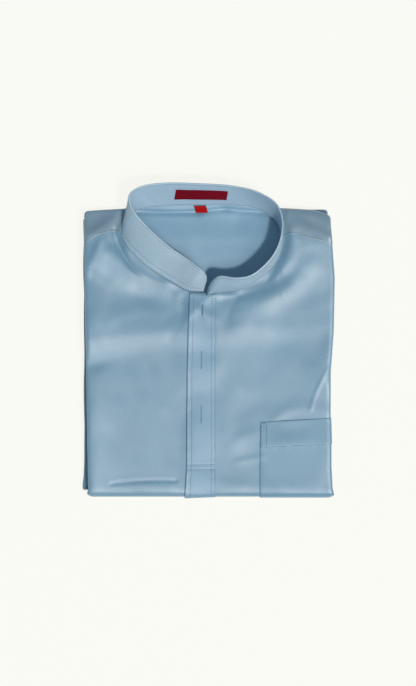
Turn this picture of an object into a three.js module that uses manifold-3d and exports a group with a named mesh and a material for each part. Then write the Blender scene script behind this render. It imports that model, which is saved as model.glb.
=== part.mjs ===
import * as THREE from "three";
import { mergeVertices } from "three/addons/utils/BufferGeometryUtils.js";
import Module from "manifold-3d";

const wasm = await Module();
wasm.setup();

// Sizes are in millimetres. X runs to the wearer's left, Y to the neck, Z up from the surface it lies on.
const clothThickness = 1.4;
const seamGap = 0.3;
const topLevel = 17.1;
const edgeRoll = 3.6;
const bottomRoll = 7.75;
const edgeWrap = THREE.MathUtils.degToRad(150);
const bottomWrap = THREE.MathUtils.degToRad(155);

// Straight part of the folded body, inside its rolled edges.
const coreHalfWidth = 124;
const coreBottom = -155.85;
const coreTop = 135.5;

// Upright lines of the front before the shirt's own slant: outer folds, placket edges and pocket edge.
const plainLines = { left: -129, placketLeft: -22, placketRight: 7.5, pocketLeft: 54.5, right: 129 };
const lineNames = ["left", "placketLeft", "placketRight", "pocketLeft", "right"];

// Where those lines stand at several heights up the folded front.
const slantRows = [
  { along: 131.3, left: -130.7, placketLeft: -19.1, placketRight: 7.9, pocketLeft: 54.6, right: 128.6 },
  { along: 66.0, left: -130.3, placketLeft: -19.4, placketRight: 7.9, pocketLeft: 54.6, right: 132.8 },
  { along: 10.5, left: -129.5, placketLeft: -21.5, placketRight: 7.4, pocketLeft: 54.6, right: 131.8 },
  { along: -34.7, left: -128.6, placketLeft: -22.6, placketRight: 7.4, pocketLeft: 54.6, right: 128.6 },
  { along: -135.5, left: -126.9, placketLeft: -23.3, placketRight: 7.4, pocketLeft: 53.7, right: 128.3 },
  { along: -164.9, left: -126.3, placketLeft: -25.2, placketRight: 7.4, pocketLeft: 53.7, right: 130.1 },
];

// Grid steps across and along the folded body: how many cells lie between two lines.
const acrossSteps = [
  { from: -coreHalfWidth, to: plainLines.placketLeft, cells: 11 },
  { from: plainLines.placketLeft, to: plainLines.placketRight, cells: 2 },
  { from: plainLines.placketRight, to: plainLines.pocketLeft, cells: 4 },
  { from: plainLines.pocketLeft, to: coreHalfWidth, cells: 7 },
];
const placketTop = 51;
const placketEnd = 0.9;
const pocketTop = -86;
const pocketHem = -113;
const alongSteps = [
  { from: coreBottom, to: pocketHem, cells: 4 },
  { from: pocketHem, to: pocketTop, cells: 2 },
  { from: pocketTop, to: placketTop, cells: 14 },
  { from: placketTop, to: coreTop, cells: 10 },
];
const rollCells = 4;
const bottomRollCells = 5;

// Broad folds of the front: a soft ridge (height above zero) or trough (below zero) along a bent line, each
// with its own spread on its left and on its right as the line runs.
const folds = [
  { fromX: -137, fromY: 7, toX: -26, toY: 10, bow: 0, left: 19, right: 11.5, height: 2.2 },
  { fromX: -135, fromY: -22, toX: -106, toY: -20, bow: 0, left: 9, right: 9, height: -1.3 },
  { fromX: -106, fromY: 40, toX: -46, toY: 52, bow: 0, left: 10, right: 10, height: -1.3 },
  { fromX: -99, fromY: 113, toX: -78, toY: 66, bow: -3, left: 7, right: 10, height: -2.2 },
  { fromX: 87, fromY: 109, toX: 33, toY: 44, bow: 15, left: 10.5, right: 7.5, height: 3.0 },
  { fromX: 115, fromY: 82, toX: 56, toY: 36, bow: 7, left: 11, right: 8, height: 2.4 },
  { fromX: 14, fromY: 9, toX: 134, toY: 19, bow: 0, left: 12.5, right: 11.5, height: 2.0 },
  { fromX: 96, fromY: -3, toX: 134, toY: 0, bow: 0, left: 9, right: 9, height: -1.2 },
  { fromX: 67, fromY: -61, toX: 115, toY: -55, bow: 0, left: 8, right: 8, height: -1.3 },
  { fromX: 14, fromY: -48, toX: 56, toY: -42, bow: 0, left: 12, right: 9, height: 1.0 },
];

// Neck band, from its end on the left, round the back, to its end on the right: the seam where it is sewn
// on, and how far its free edge leans and rises from there.
const bandThickness = 2;
const collarRows = [
  { across: -5.4, along: 50.0, level: 18.2, leanAcross: 2.0, leanAlong: 24.0, rise: 14.0 },
  { across: -21.5, along: 51.8, level: 18.0, leanAcross: 13.0, leanAlong: 24.2, rise: 12.0 },
  { across: -40.5, along: 62.0, level: 17.6, leanAcross: 17.9, leanAlong: 23.8, rise: 10.5 },
  { across: -58.3, along: 73.5, level: 17.6, leanAcross: 20.0, leanAlong: 23.4, rise: 10.0 },
  { across: -74.0, along: 86.1, level: 17.6, leanAcross: 19.4, leanAlong: 24.4, rise: 10.0 },
  { across: -86.0, along: 99.0, level: 17.6, leanAcross: 16.6, leanAlong: 25.6, rise: 11.0 },
  { across: -91.4, along: 112.0, level: 17.8, leanAcross: 12.6, leanAlong: 24.4, rise: 16.0 },
  { across: -89.0, along: 124.5, level: 18.8, leanAcross: 6.6, leanAlong: 21.8, rise: 21.5 },
  { across: -79.5, along: 134.6, level: 18.9, leanAcross: -3.2, leanAlong: 18.2, rise: 25.5 },
  { across: -64.0, along: 139.9, level: 17.6, leanAcross: -8.4, leanAlong: 21.2, rise: 22.5 },
  { across: -42.0, along: 141.8, level: 16.8, leanAcross: -5.0, leanAlong: 23.0, rise: 21.0 },
  { across: -8.9, along: 142.4, level: 16.8, leanAcross: 0.0, leanAlong: 21.8, rise: 22.5 },
  { across: 22.0, along: 142.3, level: 16.8, leanAcross: 3.2, leanAlong: 19.2, rise: 24.5 },
  { across: 45.0, along: 140.4, level: 17.0, leanAcross: 6.4, leanAlong: 14.6, rise: 27.0 },
  { across: 62.5, along: 132.6, level: 19.0, leanAcross: 9.8, leanAlong: 9.8, rise: 28.5 },
  { across: 73.5, along: 121.6, level: 18.8, leanAcross: 4.4, leanAlong: 2.6, rise: 31.0 },
  { across: 76.2, along: 106.5, level: 17.8, leanAcross: 0.0, leanAlong: 0.6, rise: 31.5 },
  { across: 70.2, along: 89.5, level: 17.6, leanAcross: -2.2, leanAlong: 2.6, rise: 31.2 },
  { across: 59.0, along: 73.6, level: 17.6, leanAcross: -3.6, leanAlong: 4.4, rise: 31.0 },
  { across: 46.0, along: 62.0, level: 17.8, leanAcross: -4.2, leanAlong: 7.0, rise: 30.2 },
  { across: 29.6, along: 53.0, level: 18.0, leanAcross: -1.8, leanAlong: 13.6, rise: 28.0 },
  { across: 13.6, along: 49.9, level: 18.2, leanAcross: -1.0, leanAlong: 17.2, rise: 26.0 },
  { across: -1.6, along: 49.4, level: 18.4, leanAcross: 1.2, leanAlong: 17.6, rise: 25.4 },
];
const collarStations = 66;
const collarLevels = [0, 0.27, 0.5, 0.71, 0.86, 1];
const endRounding = { left: 10, right: 15 };

// Shoulder seams: the back comes forward over the shoulder to these lines.
const shoulderSeamLeft = [
  { across: -150, along: 96 },
  { across: -130, along: 100.8 },
  { across: -124.4, along: 107.1 },
  { across: -116, along: 111.3 },
  { across: -108.7, along: 113.9 },
  { across: -99.2, along: 115 },
  { across: -80, along: 115.8 },
];
const shoulderSeamRight = [
  { across: 62, along: 108 },
  { across: 80, along: 110.8 },
  { across: 84.9, along: 112.9 },
  { across: 92.7, along: 112.4 },
  { across: 99.8, along: 109.2 },
  { across: 113.9, along: 106.1 },
  { across: 129.3, along: 101.9 },
  { across: 150, along: 98 },
];

// Hollow of the back inside the neck.
const hollow = { across: -6, along: 97, level: 11.4, reach: 9, thickness: 1.2, rings: 6, spokes: 44 };

// Folded lower half that shows under the side folds and at the top right corner.
const lower = { left: -131.3, right: 126.6, top: 138.0, round: 4, level: 8.85 };
// Its layered edge, from the groove under the side folds to the flat underside. Reach is measured inwards.
const edgeRings = [
  { reach: 11, height: 1.08 },
  { reach: 11, height: 1.0 },
  { reach: 2.6, height: 1.0 },
  { reach: 0.4, height: 0.86 },
  { reach: 0.7, height: 0.62 },
  { reach: 2.2, height: 0.53 },
  { reach: 0.3, height: 0.42 },
  { reach: 0.2, height: 0.2 },
  { reach: 2.0, height: 0.0 },
];

const buttonholes = [
  { across: -6.3, along: 32.0, length: 14 },
  { across: -7.6, along: -21.0, length: 16 },
  { across: -7.4, along: -77.5, length: 16 },
];
const buttonholeWidth = 0.9;

// The pack is thinner at the shoulders, where fewer layers lie, so it slopes down to the top fold.
const shoulderSlope = { from: 104, run: 34, loss: 0.28 };
// The shoulder fold drops away to both sides, and more at the right corner, where a lower layer shows.
const shoulderFall = { both: 5, right: 4.5, rightFrom: 106, rightRun: 22 };

const mix = THREE.MathUtils.lerp;
const clamp = THREE.MathUtils.clamp;
const soft = (share) => THREE.MathUtils.smoothstep(share, 0, 1);

// One line of a table at a value between its rows.
function between(rows, key, value, column) {
  const falling = rows[0][key] > rows[rows.length - 1][key];
  const sorted = falling ? [...rows].reverse() : rows;
  if (value <= sorted[0][key]) return sorted[0][column];
  for (let i = 1; i < sorted.length; i += 1) {
    if (value <= sorted[i][key]) {
      const share = (value - sorted[i - 1][key]) / (sorted[i][key] - sorted[i - 1][key]);
      return mix(sorted[i - 1][column], sorted[i][column], share);
    }
  }
  return sorted[sorted.length - 1][column];
}

// Share of its thickness that the pack keeps at a place up its length.
function thinned(along) {
  return 1 - shoulderSlope.loss * soft((along - shoulderSlope.from) / shoulderSlope.run);
}

// Height that the broad folds add at a place on the front.
function foldRelief(across, along) {
  let height = 0;
  for (const fold of folds) {
    const runX = fold.toX - fold.fromX;
    const runY = fold.toY - fold.fromY;
    const length = Math.hypot(runX, runY);
    const offX = across - fold.fromX;
    const offY = along - fold.fromY;
    const share = (offX * runX + offY * runY) / (length * length);
    const bent = fold.bow * 4 * share * (1 - share);
    const side = (offY * runX - offX * runY) / length - bent;
    const beyond = Math.max(0, -share, share - 1) * length;
    const spread = side > 0 ? fold.left : fold.right;
    height += fold.height * Math.exp(-((side / spread) ** 2 + (beyond / 16) ** 2));
  }
  const fromEdge = Math.min(129 - Math.abs(across), along + 165, 140 - along);
  return height * soft(fromEdge / 16);
}

// Moves a plain rectangular place to where it lies on the slightly slanting, folded body.
function slanted(across, along) {
  let i = 1;
  while (i < lineNames.length - 1 && across > plainLines[lineNames[i]]) i += 1;
  const plainA = plainLines[lineNames[i - 1]];
  const plainB = plainLines[lineNames[i]];
  const realA = between(slantRows, "along", along, lineNames[i - 1]);
  const realB = between(slantRows, "along", along, lineNames[i]);
  const share = (across - plainA) / (plainB - plainA);
  const outside = Math.max(0, Math.abs(across) - plainLines.right) * Math.sign(across);
  const x = mix(realA, realB, clamp(share, 0, 1)) + outside;
  const cornerShare = clamp((across - shoulderFall.rightFrom) / shoulderFall.rightRun, 0, 1);
  const fall = shoulderFall.both * (across / plainLines.right) ** 2 + shoulderFall.right * cornerShare ** 2;
  const shoulderDrop = fall * clamp((along - 60) / 80, 0, 1.1);
  const pocketLift = 4.2 * clamp((across - plainLines.pocketLeft) / 74.5, 0, 1)
    * clamp((along + 160) / 42, 0, 1) * clamp((-20 - along) / 60, 0, 1);
  return [x, along - shoulderDrop + pocketLift];
}

// A list of grid lines: straight ones at a place, rolled ones that share the last place and turn with it.
function gridLines(steps, startCells, endCells) {
  const lines = [];
  for (let i = startCells; i > 0; i -= 1) lines.push({ core: steps[0].from, turn: i / startCells, side: -1 });
  for (const step of steps) {
    for (let i = 0; i < step.cells; i += 1) {
      lines.push({ core: mix(step.from, step.to, i / step.cells), turn: 0, side: 1 });
    }
  }
  const last = steps[steps.length - 1].to;
  for (let i = 0; i <= endCells; i += 1) lines.push({ core: last, turn: i / endCells, side: 1 });
  return lines;
}
const columns = gridLines(acrossSteps, rollCells, rollCells);
const rows = gridLines(alongSteps, bottomRollCells, rollCells);

// How the edge turns at one grid crossing: heading round the corner and how far it belongs to the bottom.
function edgeTurn(column, row) {
  const turn = Math.max(column.turn, row.turn);
  const heading = turn === 0 ? 0 : Math.atan2(row.turn, column.turn);
  const share = row.side < 0 ? soft(heading / (Math.PI / 2)) : 0;
  const roll = mix(edgeRoll, bottomRoll, share);
  return { turn, heading, share, roll, angle: turn * mix(edgeWrap, bottomWrap, share) };
}

// A place on the folded body, lifted from the underside of its front.
function bodyPoint(column, row, lift) {
  const edge = edgeTurn(column, row);
  const radius = edge.roll + lift;
  const out = radius * Math.sin(edge.angle);
  const plainOut = edge.roll * Math.sin(edge.angle);
  const headX = Math.cos(edge.heading) * column.side;
  const headY = Math.sin(edge.heading) * row.side;
  const relief = foldRelief(column.core + plainOut * headX, row.core + plainOut * headY);
  const place = slanted(column.core + out * headX, row.core + out * headY);
  const top = topLevel - edge.roll + radius * Math.cos(edge.angle);
  const height = top + relief * Math.max(0, Math.cos(edge.angle));
  return new THREE.Vector3(place[0], place[1], height * thinned(place[1]));
}

// A closed body from its points and triangles.
function closedBody(points, triangles) {
  const geometry = new THREE.BufferGeometry();
  const flat = points.flatMap((point) => [point.x, point.y, point.z]);
  geometry.setAttribute("position", new THREE.Float32BufferAttribute(flat, 3));
  geometry.setIndex(triangles.flat());
  return geometry;
}

// A cloth wall between an inner and an outer grid of points, closed all round its edge.
function clothWall(countA, countB, place) {
  const points = [];
  const triangles = [];
  for (const outer of [0, 1]) {
    for (let a = 0; a < countA; a += 1) {
      for (let b = 0; b < countB; b += 1) points.push(place(a, b, outer));
    }
  }
  const at = (a, b, outer) => outer * countA * countB + a * countB + b;
  for (let a = 0; a < countA - 1; a += 1) {
    for (let b = 0; b < countB - 1; b += 1) {
      triangles.push([at(a, b, 1), at(a + 1, b, 1), at(a + 1, b + 1, 1)]);
      triangles.push([at(a, b, 1), at(a + 1, b + 1, 1), at(a, b + 1, 1)]);
      triangles.push([at(a, b, 0), at(a + 1, b + 1, 0), at(a + 1, b, 0)]);
      triangles.push([at(a, b, 0), at(a, b + 1, 0), at(a + 1, b + 1, 0)]);
    }
  }
  for (const [a, b] of edgeWalk(countA, countB)) {
    triangles.push([at(...a, 0), at(...b, 0), at(...b, 1)]);
    triangles.push([at(...a, 0), at(...b, 1), at(...a, 1)]);
  }
  return closedBody(points, triangles);
}

// Steps round the edge of a grid, in the sense that keeps the outer side on the left.
function edgeWalk(countA, countB) {
  const corners = [];
  for (let a = 0; a < countA - 1; a += 1) corners.push([a, 0]);
  for (let b = 0; b < countB - 1; b += 1) corners.push([countA - 1, b]);
  for (let a = countA - 1; a > 0; a -= 1) corners.push([a, countB - 1]);
  for (let b = countB - 1; b > 0; b -= 1) corners.push([0, b]);
  return corners.map((corner, i) => [corner, corners[(i + 1) % corners.length]]);
}

// A part of the folded body's cloth between two grid lines each way.
function bodyWall(columnList, rowList, inner, outer) {
  return clothWall(columnList.length, rowList.length, (a, b, side) => {
    const lift = side ? outer(columnList[a], rowList[b]) : inner;
    return bodyPoint(columnList[a], rowList[b], lift);
  });
}

function solidOf(geometry) {
  const plain = new THREE.BufferGeometry();
  plain.setAttribute("position", geometry.getAttribute("position").clone());
  if (geometry.index) plain.setIndex(geometry.index.clone());
  const merged = mergeVertices(plain, 0.0005);
  return new wasm.Manifold(new wasm.Mesh({
    numProp: 3,
    vertProperties: new Float32Array(merged.getAttribute("position").array),
    triVerts: new Uint32Array(merged.index.array),
  }));
}

function geometryOf(solid) {
  const mesh = solid.getMesh();
  const geometry = new THREE.BufferGeometry();
  geometry.setAttribute("position", new THREE.Float32BufferAttribute(mesh.vertProperties, 3));
  geometry.setIndex(new THREE.Uint32BufferAttribute(mesh.triVerts, 1));
  return geometry;
}

// An upright block over a closed outline.
function uprightBlock(outline, bottom, top) {
  const shape = new THREE.Shape(outline.map((point) => new THREE.Vector2(point.x, point.y)));
  const geometry = new THREE.ExtrudeGeometry(shape, { depth: top - bottom, bevelEnabled: false });
  geometry.translate(0, 0, bottom);
  return solidOf(geometry);
}

const seamLevel = (row) => row.level * thinned(row.along);
const seamCurve = new THREE.CatmullRomCurve3(
  collarRows.map((row) => new THREE.Vector3(row.across, row.along, seamLevel(row))), false, "centripetal");
const leanCurve = new THREE.CatmullRomCurve3(
  collarRows.map((row) => new THREE.Vector3(row.across + row.leanAcross, row.along + row.leanAlong,
    seamLevel(row) + row.rise)), false, "centripetal");

// Height share of the band near its ends, where the free corners are rounded off.
function endHeight(share) {
  const length = seamCurve.getLength();
  const fromLeft = share * length;
  const fromRight = (1 - share) * length;
  const cut = (distance, radius) => {
    if (distance >= radius) return 0;
    return radius - Math.sqrt(radius ** 2 - (radius - distance) ** 2);
  };
  return 1 - 0.9 * (cut(fromLeft, endRounding.left) + cut(fromRight, endRounding.right)) / 31.5;
}

function bandMiddle(share, level) {
  const seam = seamCurve.getPoint(share);
  const free = leanCurve.getPoint(share);
  return seam.lerp(free, level * endHeight(share));
}

// A place on the neck band; positive lift is towards the outside of the neck.
function bandPoint(share, level, lift) {
  const step = 0.004;
  const alongBand = bandMiddle(Math.min(1, share + step), level).sub(bandMiddle(Math.max(0, share - step), level));
  const upBand = leanCurve.getPoint(share).sub(seamCurve.getPoint(share));
  const outward = alongBand.cross(upBand).normalize().negate();
  return bandMiddle(share, level).addScaledVector(outward, lift);
}

// Outline of the seam hole, a little wider than the band.
function neckOutline(margin) {
  const outline = [];
  for (let i = 0; i <= collarStations; i += 1) {
    const share = i / collarStations;
    const here = seamCurve.getPoint(share);
    const ahead = seamCurve.getTangent(share);
    const outward = new THREE.Vector2(-ahead.y, ahead.x).normalize();
    outline.push(new THREE.Vector2(here.x, here.y).addScaledVector(outward, margin));
  }
  return outline;
}

// Distance from the middle of the hollow to the neck seam in one direction.
function seamReach(angle) {
  const heading = new THREE.Vector2(Math.cos(angle), Math.sin(angle));
  const outline = neckOutline(0);
  let best = { miss: Infinity, far: 0 };
  for (let i = 0; i < outline.length; i += 1) {
    const next = outline[(i + 1) % outline.length];
    for (const share of [0, 0.25, 0.5, 0.75]) {
      const away = outline[i].clone().lerp(next, share).sub(new THREE.Vector2(hollow.across, hollow.along));
      const miss = Math.abs(Math.atan2(heading.cross(away), heading.dot(away)));
      if (miss < best.miss) best = { miss, far: away.length() };
    }
  }
  return best.far;
}

// The back inside the neck: a shallow hollow that climbs to the front's underside and to the shoulders.
function hollowPoint(spoke, ring, drop, widen) {
  const angle = (spoke / hollow.spokes) * Math.PI * 2;
  const toBack = clamp((Math.sin(angle) - 0.5) / 0.2, 0, 1) * clamp((0.95 - Math.abs(Math.cos(angle))) / 0.15, 0, 1);
  const reach = seamReach(angle) + mix(hollow.reach, 0.2, toBack) + widen;
  const share = ring / hollow.rings;
  const x = hollow.across + Math.cos(angle) * reach * share;
  const y = hollow.along + Math.sin(angle) * reach * share;
  const underFront = topLevel - seamGap - 0.9;
  const overSeam = clamp((y - 118) / 5, 0, 1) * (1 - toBack);
  const edge = mix(mix(underFront, topLevel + 0.7, overSeam), 15.4, toBack) + foldRelief(x, y) * (1 - toBack);
  return new THREE.Vector3(x, y, mix(hollow.level, edge, share ** 3.5) * thinned(y) - drop);
}

function discBody(place) {
  const points = [];
  const triangles = [];
  for (const outer of [0, 1]) {
    for (let ring = 1; ring <= hollow.rings; ring += 1) {
      for (let spoke = 0; spoke < hollow.spokes; spoke += 1) points.push(place(spoke, ring, outer));
    }
  }
  const at = (spoke, ring, outer) => outer * hollow.rings * hollow.spokes + (ring - 1) * hollow.spokes
    + (spoke % hollow.spokes);
  const middle = [points.length, points.length + 1];
  points.push(place(0, 0, 0), place(0, 0, 1));
  for (let spoke = 0; spoke < hollow.spokes; spoke += 1) {
    triangles.push([middle[1], at(spoke, 1, 1), at(spoke + 1, 1, 1)]);
    triangles.push([middle[0], at(spoke + 1, 1, 0), at(spoke, 1, 0)]);
    for (let ring = 1; ring < hollow.rings; ring += 1) {
      triangles.push([at(spoke, ring, 1), at(spoke, ring + 1, 1), at(spoke + 1, ring + 1, 1)]);
      triangles.push([at(spoke, ring, 1), at(spoke + 1, ring + 1, 1), at(spoke + 1, ring, 1)]);
      triangles.push([at(spoke, ring, 0), at(spoke + 1, ring + 1, 0), at(spoke, ring + 1, 0)]);
      triangles.push([at(spoke, ring, 0), at(spoke + 1, ring, 0), at(spoke + 1, ring + 1, 0)]);
    }
    const rim = hollow.rings;
    triangles.push([at(spoke, rim, 0), at(spoke + 1, rim, 0), at(spoke + 1, rim, 1)]);
    triangles.push([at(spoke, rim, 0), at(spoke + 1, rim, 1), at(spoke, rim, 1)]);
  }
  return closedBody(points, triangles);
}

// The hidden layers: the same grid just under the front, then down the layered edge to the flat underside.
function layersBody() {
  const points = [];
  const triangles = [];
  const countB = rows.length;
  for (const column of columns) {
    for (const row of rows) points.push(bodyPoint(column, row, -seamGap));
  }
  for (let a = 0; a < columns.length - 1; a += 1) {
    for (let b = 0; b < countB - 1; b += 1) {
      const corner = a * countB + b;
      triangles.push([corner, corner + countB, corner + countB + 1]);
      triangles.push([corner, corner + countB + 1, corner + 1]);
    }
  }
  const walk = edgeWalk(columns.length, countB).map(([corner]) => corner);
  let previous = walk.map(([a, b]) => a * countB + b);
  for (const ring of edgeRings) {
    const start = points.length;
    for (const [a, b] of walk) points.push(layerPoint(columns[a], rows[b], ring));
    const current = walk.map((corner, i) => start + i);
    for (let i = 0; i < walk.length; i += 1) {
      const j = (i + 1) % walk.length;
      triangles.push([previous[j], previous[i], current[i]]);
      triangles.push([previous[j], current[i], current[j]]);
    }
    previous = current;
  }
  const rim = previous.map((index) => new THREE.Vector2(points[index].x, points[index].y));
  for (const face of THREE.ShapeUtils.triangulateShape(rim, [])) {
    triangles.push([previous[face[0]], previous[face[2]], previous[face[1]]]);
  }
  return closedBody(points, triangles);
}

// A place on the layered edge of the folded lower half.
function layerPoint(column, row, ring) {
  const edge = edgeTurn(column, row);
  const lowest = topLevel - edge.roll + (edge.roll + clothThickness) * Math.cos(edge.angle) - seamGap;
  const level = mix(lower.level, lowest, edge.share);
  const plainX = (column.core + coreHalfWidth) / (2 * coreHalfWidth);
  const coreX = mix(lower.left + lower.round, lower.right - lower.round, plainX);
  const plainY = (row.core - coreBottom) / (coreTop - coreBottom);
  const coreY = mix(coreBottom, lower.top - lower.round, plainY);
  const out = mix(lower.round - ring.reach, 2.2 - ring.reach * 0.4, edge.share);
  const x = coreX + out * Math.cos(edge.heading) * column.side;
  const y = coreY + out * Math.sin(edge.heading) * row.side;
  return new THREE.Vector3(x, y, Math.min(level * ring.height, level + 0.7) * thinned(y));
}

function buildBody() {
  const cloth = solidOf(bodyWall(columns, rows, 0, () => clothThickness));
  const hole = uprightBlock(neckOutline(bandThickness / 2 + seamGap), 9, 40);
  const shoulderLine = [...shoulderSeamLeft, ...shoulderSeamRight];
  const region = (shift) => uprightBlock([
    ...shoulderLine.map((point) => new THREE.Vector2(point.across, point.along + shift)),
    new THREE.Vector2(150, 170),
    new THREE.Vector2(-150, 170),
  ], -5, 60);
  const front = cloth.subtract(region(-seamGap / 2)).subtract(hole);
  const shoulders = cloth.intersect(region(seamGap / 2)).subtract(hole);
  const inside = solidOf(discBody((spoke, ring, outer) => {
    return hollowPoint(spoke, ring, outer ? 0 : hollow.thickness, 0);
  }));
  const room = solidOf(discBody((spoke, ring, outer) => {
    const point = hollowPoint(spoke, ring, hollow.thickness + seamGap, 0.5);
    if (outer) point.z = 32;
    return point;
  }));
  const bandSeat = uprightBlock(neckOutline(bandThickness / 2 + seamGap), 16.1, 40);
  const back = shoulders.add(inside).subtract(bandSeat);
  const layers = solidOf(layersBody()).subtract(room);
  return { front: geometryOf(front), back: geometryOf(back), layers: geometryOf(layers) };
}

function buildCollar() {
  return clothWall(collarStations + 1, collarLevels.length, (a, b, outer) => {
    return bandPoint(a / collarStations, collarLevels[b], (outer ? -1 : 1) * bandThickness / 2);
  });
}

function buildPlacket() {
  const inner = clothThickness + seamGap;
  const strip = columns.filter((line) => line.turn === 0
    && line.core >= plainLines.placketLeft - 0.01 && line.core <= plainLines.placketRight + 0.01);
  const length = rows.filter((line) => line.turn <= placketEnd && line.core <= placketTop + 0.01
    && (line.side < 0 || line.turn === 0));
  let solid = solidOf(bodyWall(strip, length, inner, () => inner + 1.2));
  const hole = uprightBlock(neckOutline(bandThickness / 2 + 2 * seamGap), 9, 60);
  solid = solid.subtract(hole);
  for (const slit of buttonholes) {
    const cut = new THREE.BoxGeometry(buttonholeWidth, slit.length, 20);
    cut.translate(slit.across, slit.along, 20);
    solid = solid.subtract(solidOf(cut));
  }
  return geometryOf(solid);
}

function buildPocket() {
  const inner = clothThickness + seamGap;
  const across = columns.filter((line) => line.core >= plainLines.pocketLeft - 0.01
    && line.side > 0 && line.turn <= placketEnd);
  const along = rows.filter((line) => line.core <= pocketTop + 0.01
    && (line.side < 0 || line.turn === 0) && line.turn <= placketEnd);
  const hem = (column, row) => inner + (row.core >= pocketHem - 0.01 ? 1.7 : 1.2);
  return bodyWall(across, along, inner, hem);
}

function buildLabel() {
  const first = 31;
  const last = 36;
  const inner = -(bandThickness / 2 + seamGap);
  return clothWall(last - first + 1, 3, (a, b, outer) => {
    return bandPoint((a + first) / collarStations, collarLevels[b + 1], outer ? inner - 0.7 : inner);
  });
}

function buildSizeTab() {
  const width = 13;
  const drop = 8;
  return clothWall(3, 3, (a, b, outer) => {
    const x = mix(-15, -15 + width, a / 2);
    const y = mix(141.2 - drop, 141.2, b / 2);
    return new THREE.Vector3(x, y, mix(14.2, 15.9, b / 2) * thinned(y) + (outer ? 1 : 0));
  });
}

const looks = {
  folded_layers: { color: 0x7f9db2, roughness: 0.5 },
  front: { color: 0x8fb0c6, roughness: 0.4 },
  back: { color: 0x8cabc1, roughness: 0.45 },
  collar: { color: 0x95b5cb, roughness: 0.4 },
  placket: { color: 0x93b2c8, roughness: 0.4 },
  pocket: { color: 0x92b0c4, roughness: 0.4 },
  label: { color: 0x540f19, roughness: 0.7 },
  size_tab: { color: 0x9e141e, roughness: 0.6 },
};

function named(name, geometry) {
  const look = looks[name];
  const material = new THREE.MeshStandardMaterial({ color: look.color, roughness: look.roughness, metalness: 0 });
  const mesh = new THREE.Mesh(geometry, material);
  mesh.name = name;
  return mesh;
}

const body = buildBody();
const shirt = new THREE.Group();
shirt.name = "baju_melayu_shirt";
shirt.add(named("folded_layers", body.layers));
shirt.add(named("front", body.front));
shirt.add(named("back", body.back));
shirt.add(named("collar", buildCollar()));
shirt.add(named("placket", buildPlacket()));
shirt.add(named("pocket", buildPocket()));
shirt.add(named("label", buildLabel()));
shirt.add(named("size_tab", buildSizeTab()));

export default shirt;
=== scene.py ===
import math

import bpy
import numpy as np
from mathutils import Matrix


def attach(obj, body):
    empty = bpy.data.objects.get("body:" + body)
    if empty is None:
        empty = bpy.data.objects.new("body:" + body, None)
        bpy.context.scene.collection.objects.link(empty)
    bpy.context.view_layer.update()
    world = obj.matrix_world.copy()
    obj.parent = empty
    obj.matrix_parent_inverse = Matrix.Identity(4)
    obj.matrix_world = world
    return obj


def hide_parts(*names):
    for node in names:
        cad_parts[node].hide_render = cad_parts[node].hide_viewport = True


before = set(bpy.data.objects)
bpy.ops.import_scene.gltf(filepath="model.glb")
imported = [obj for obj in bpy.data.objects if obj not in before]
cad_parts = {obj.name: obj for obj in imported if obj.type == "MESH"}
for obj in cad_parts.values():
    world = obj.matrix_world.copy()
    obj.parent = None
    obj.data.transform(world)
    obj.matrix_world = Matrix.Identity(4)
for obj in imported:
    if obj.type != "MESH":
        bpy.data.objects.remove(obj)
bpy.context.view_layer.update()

# Shapes are worked out in millimetres and go into the meshes in metres.
# X runs to the wearer's left, Y from the bottom fold to the neck, Z up from the table.
mm = 0.001
print("frame loaded")


def softStep(t):
    # 3t^2 - 2t^3, with t held between 0 and 1
    t = np.clip(t, 0.0, 1.0)
    return t * t * (3.0 - 2.0 * t)


def bell(x, centre, width):
    # exp(-((x - centre) / width)^2)
    return np.exp(-((x - centre) / width) ** 2)


def edgeRound(distance, radius, least=0.0):
    # Quarter circle from the edge inwards: sqrt(1 - (1 - distance / radius)^2), 1 beyond the radius
    return np.sqrt(1 - (1 - np.clip(distance / radius, least, 1)) ** 2)


def unit(v):
    # Each vector divided by its length
    return v / np.maximum(np.linalg.norm(v, axis=-1, keepdims=True), 1e-9)


def smoothLine(points, shares):
    # Centripetal Catmull-Rom line: between two rows a cubic, whose end slopes weigh both neighbours
    # by the square root of their distance
    p = np.asarray(points, float)
    p = np.vstack([2 * p[0] - p[1], p, 2 * p[-1] - p[-2]])
    step = np.sqrt(np.linalg.norm(np.diff(p, axis=0), axis=1))
    shares = np.asarray(shares, float)
    place = np.clip(shares, 0, 1) * (len(p) - 3)
    k = np.minimum(place.astype(int), len(p) - 4)
    t = (place - k)[..., None]
    p0, p1, p2, p3 = p[k], p[k + 1], p[k + 2], p[k + 3]
    d0, d1, d2 = step[k][..., None], step[k + 1][..., None], step[k + 2][..., None]
    m1 = ((p1 - p0) / d0 - (p2 - p0) / (d0 + d1) + (p2 - p1) / d1) * d1
    m2 = ((p2 - p1) / d1 - (p3 - p1) / (d1 + d2) + (p3 - p2) / d2) * d1
    return ((2 * t**3 - 3 * t**2 + 1) * p1 + (t**3 - 2 * t**2 + t) * m1
            + (3 * t**2 - 2 * t**3) * p2 + (t**3 - t**2) * m2)


def linesBetween(start, end, step, close=()):
    # Even grid lines from start to end, with extra ones close behind each end
    even = np.linspace(start, end, max(2, int(round(abs(end - start) / step)) + 1))
    sign = 1 if end > start else -1
    extra = [start + sign * d for d in close] + [end - sign * d for d in close]
    return np.unique(np.round(np.concatenate([even, extra]), 4))[::sign]


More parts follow.
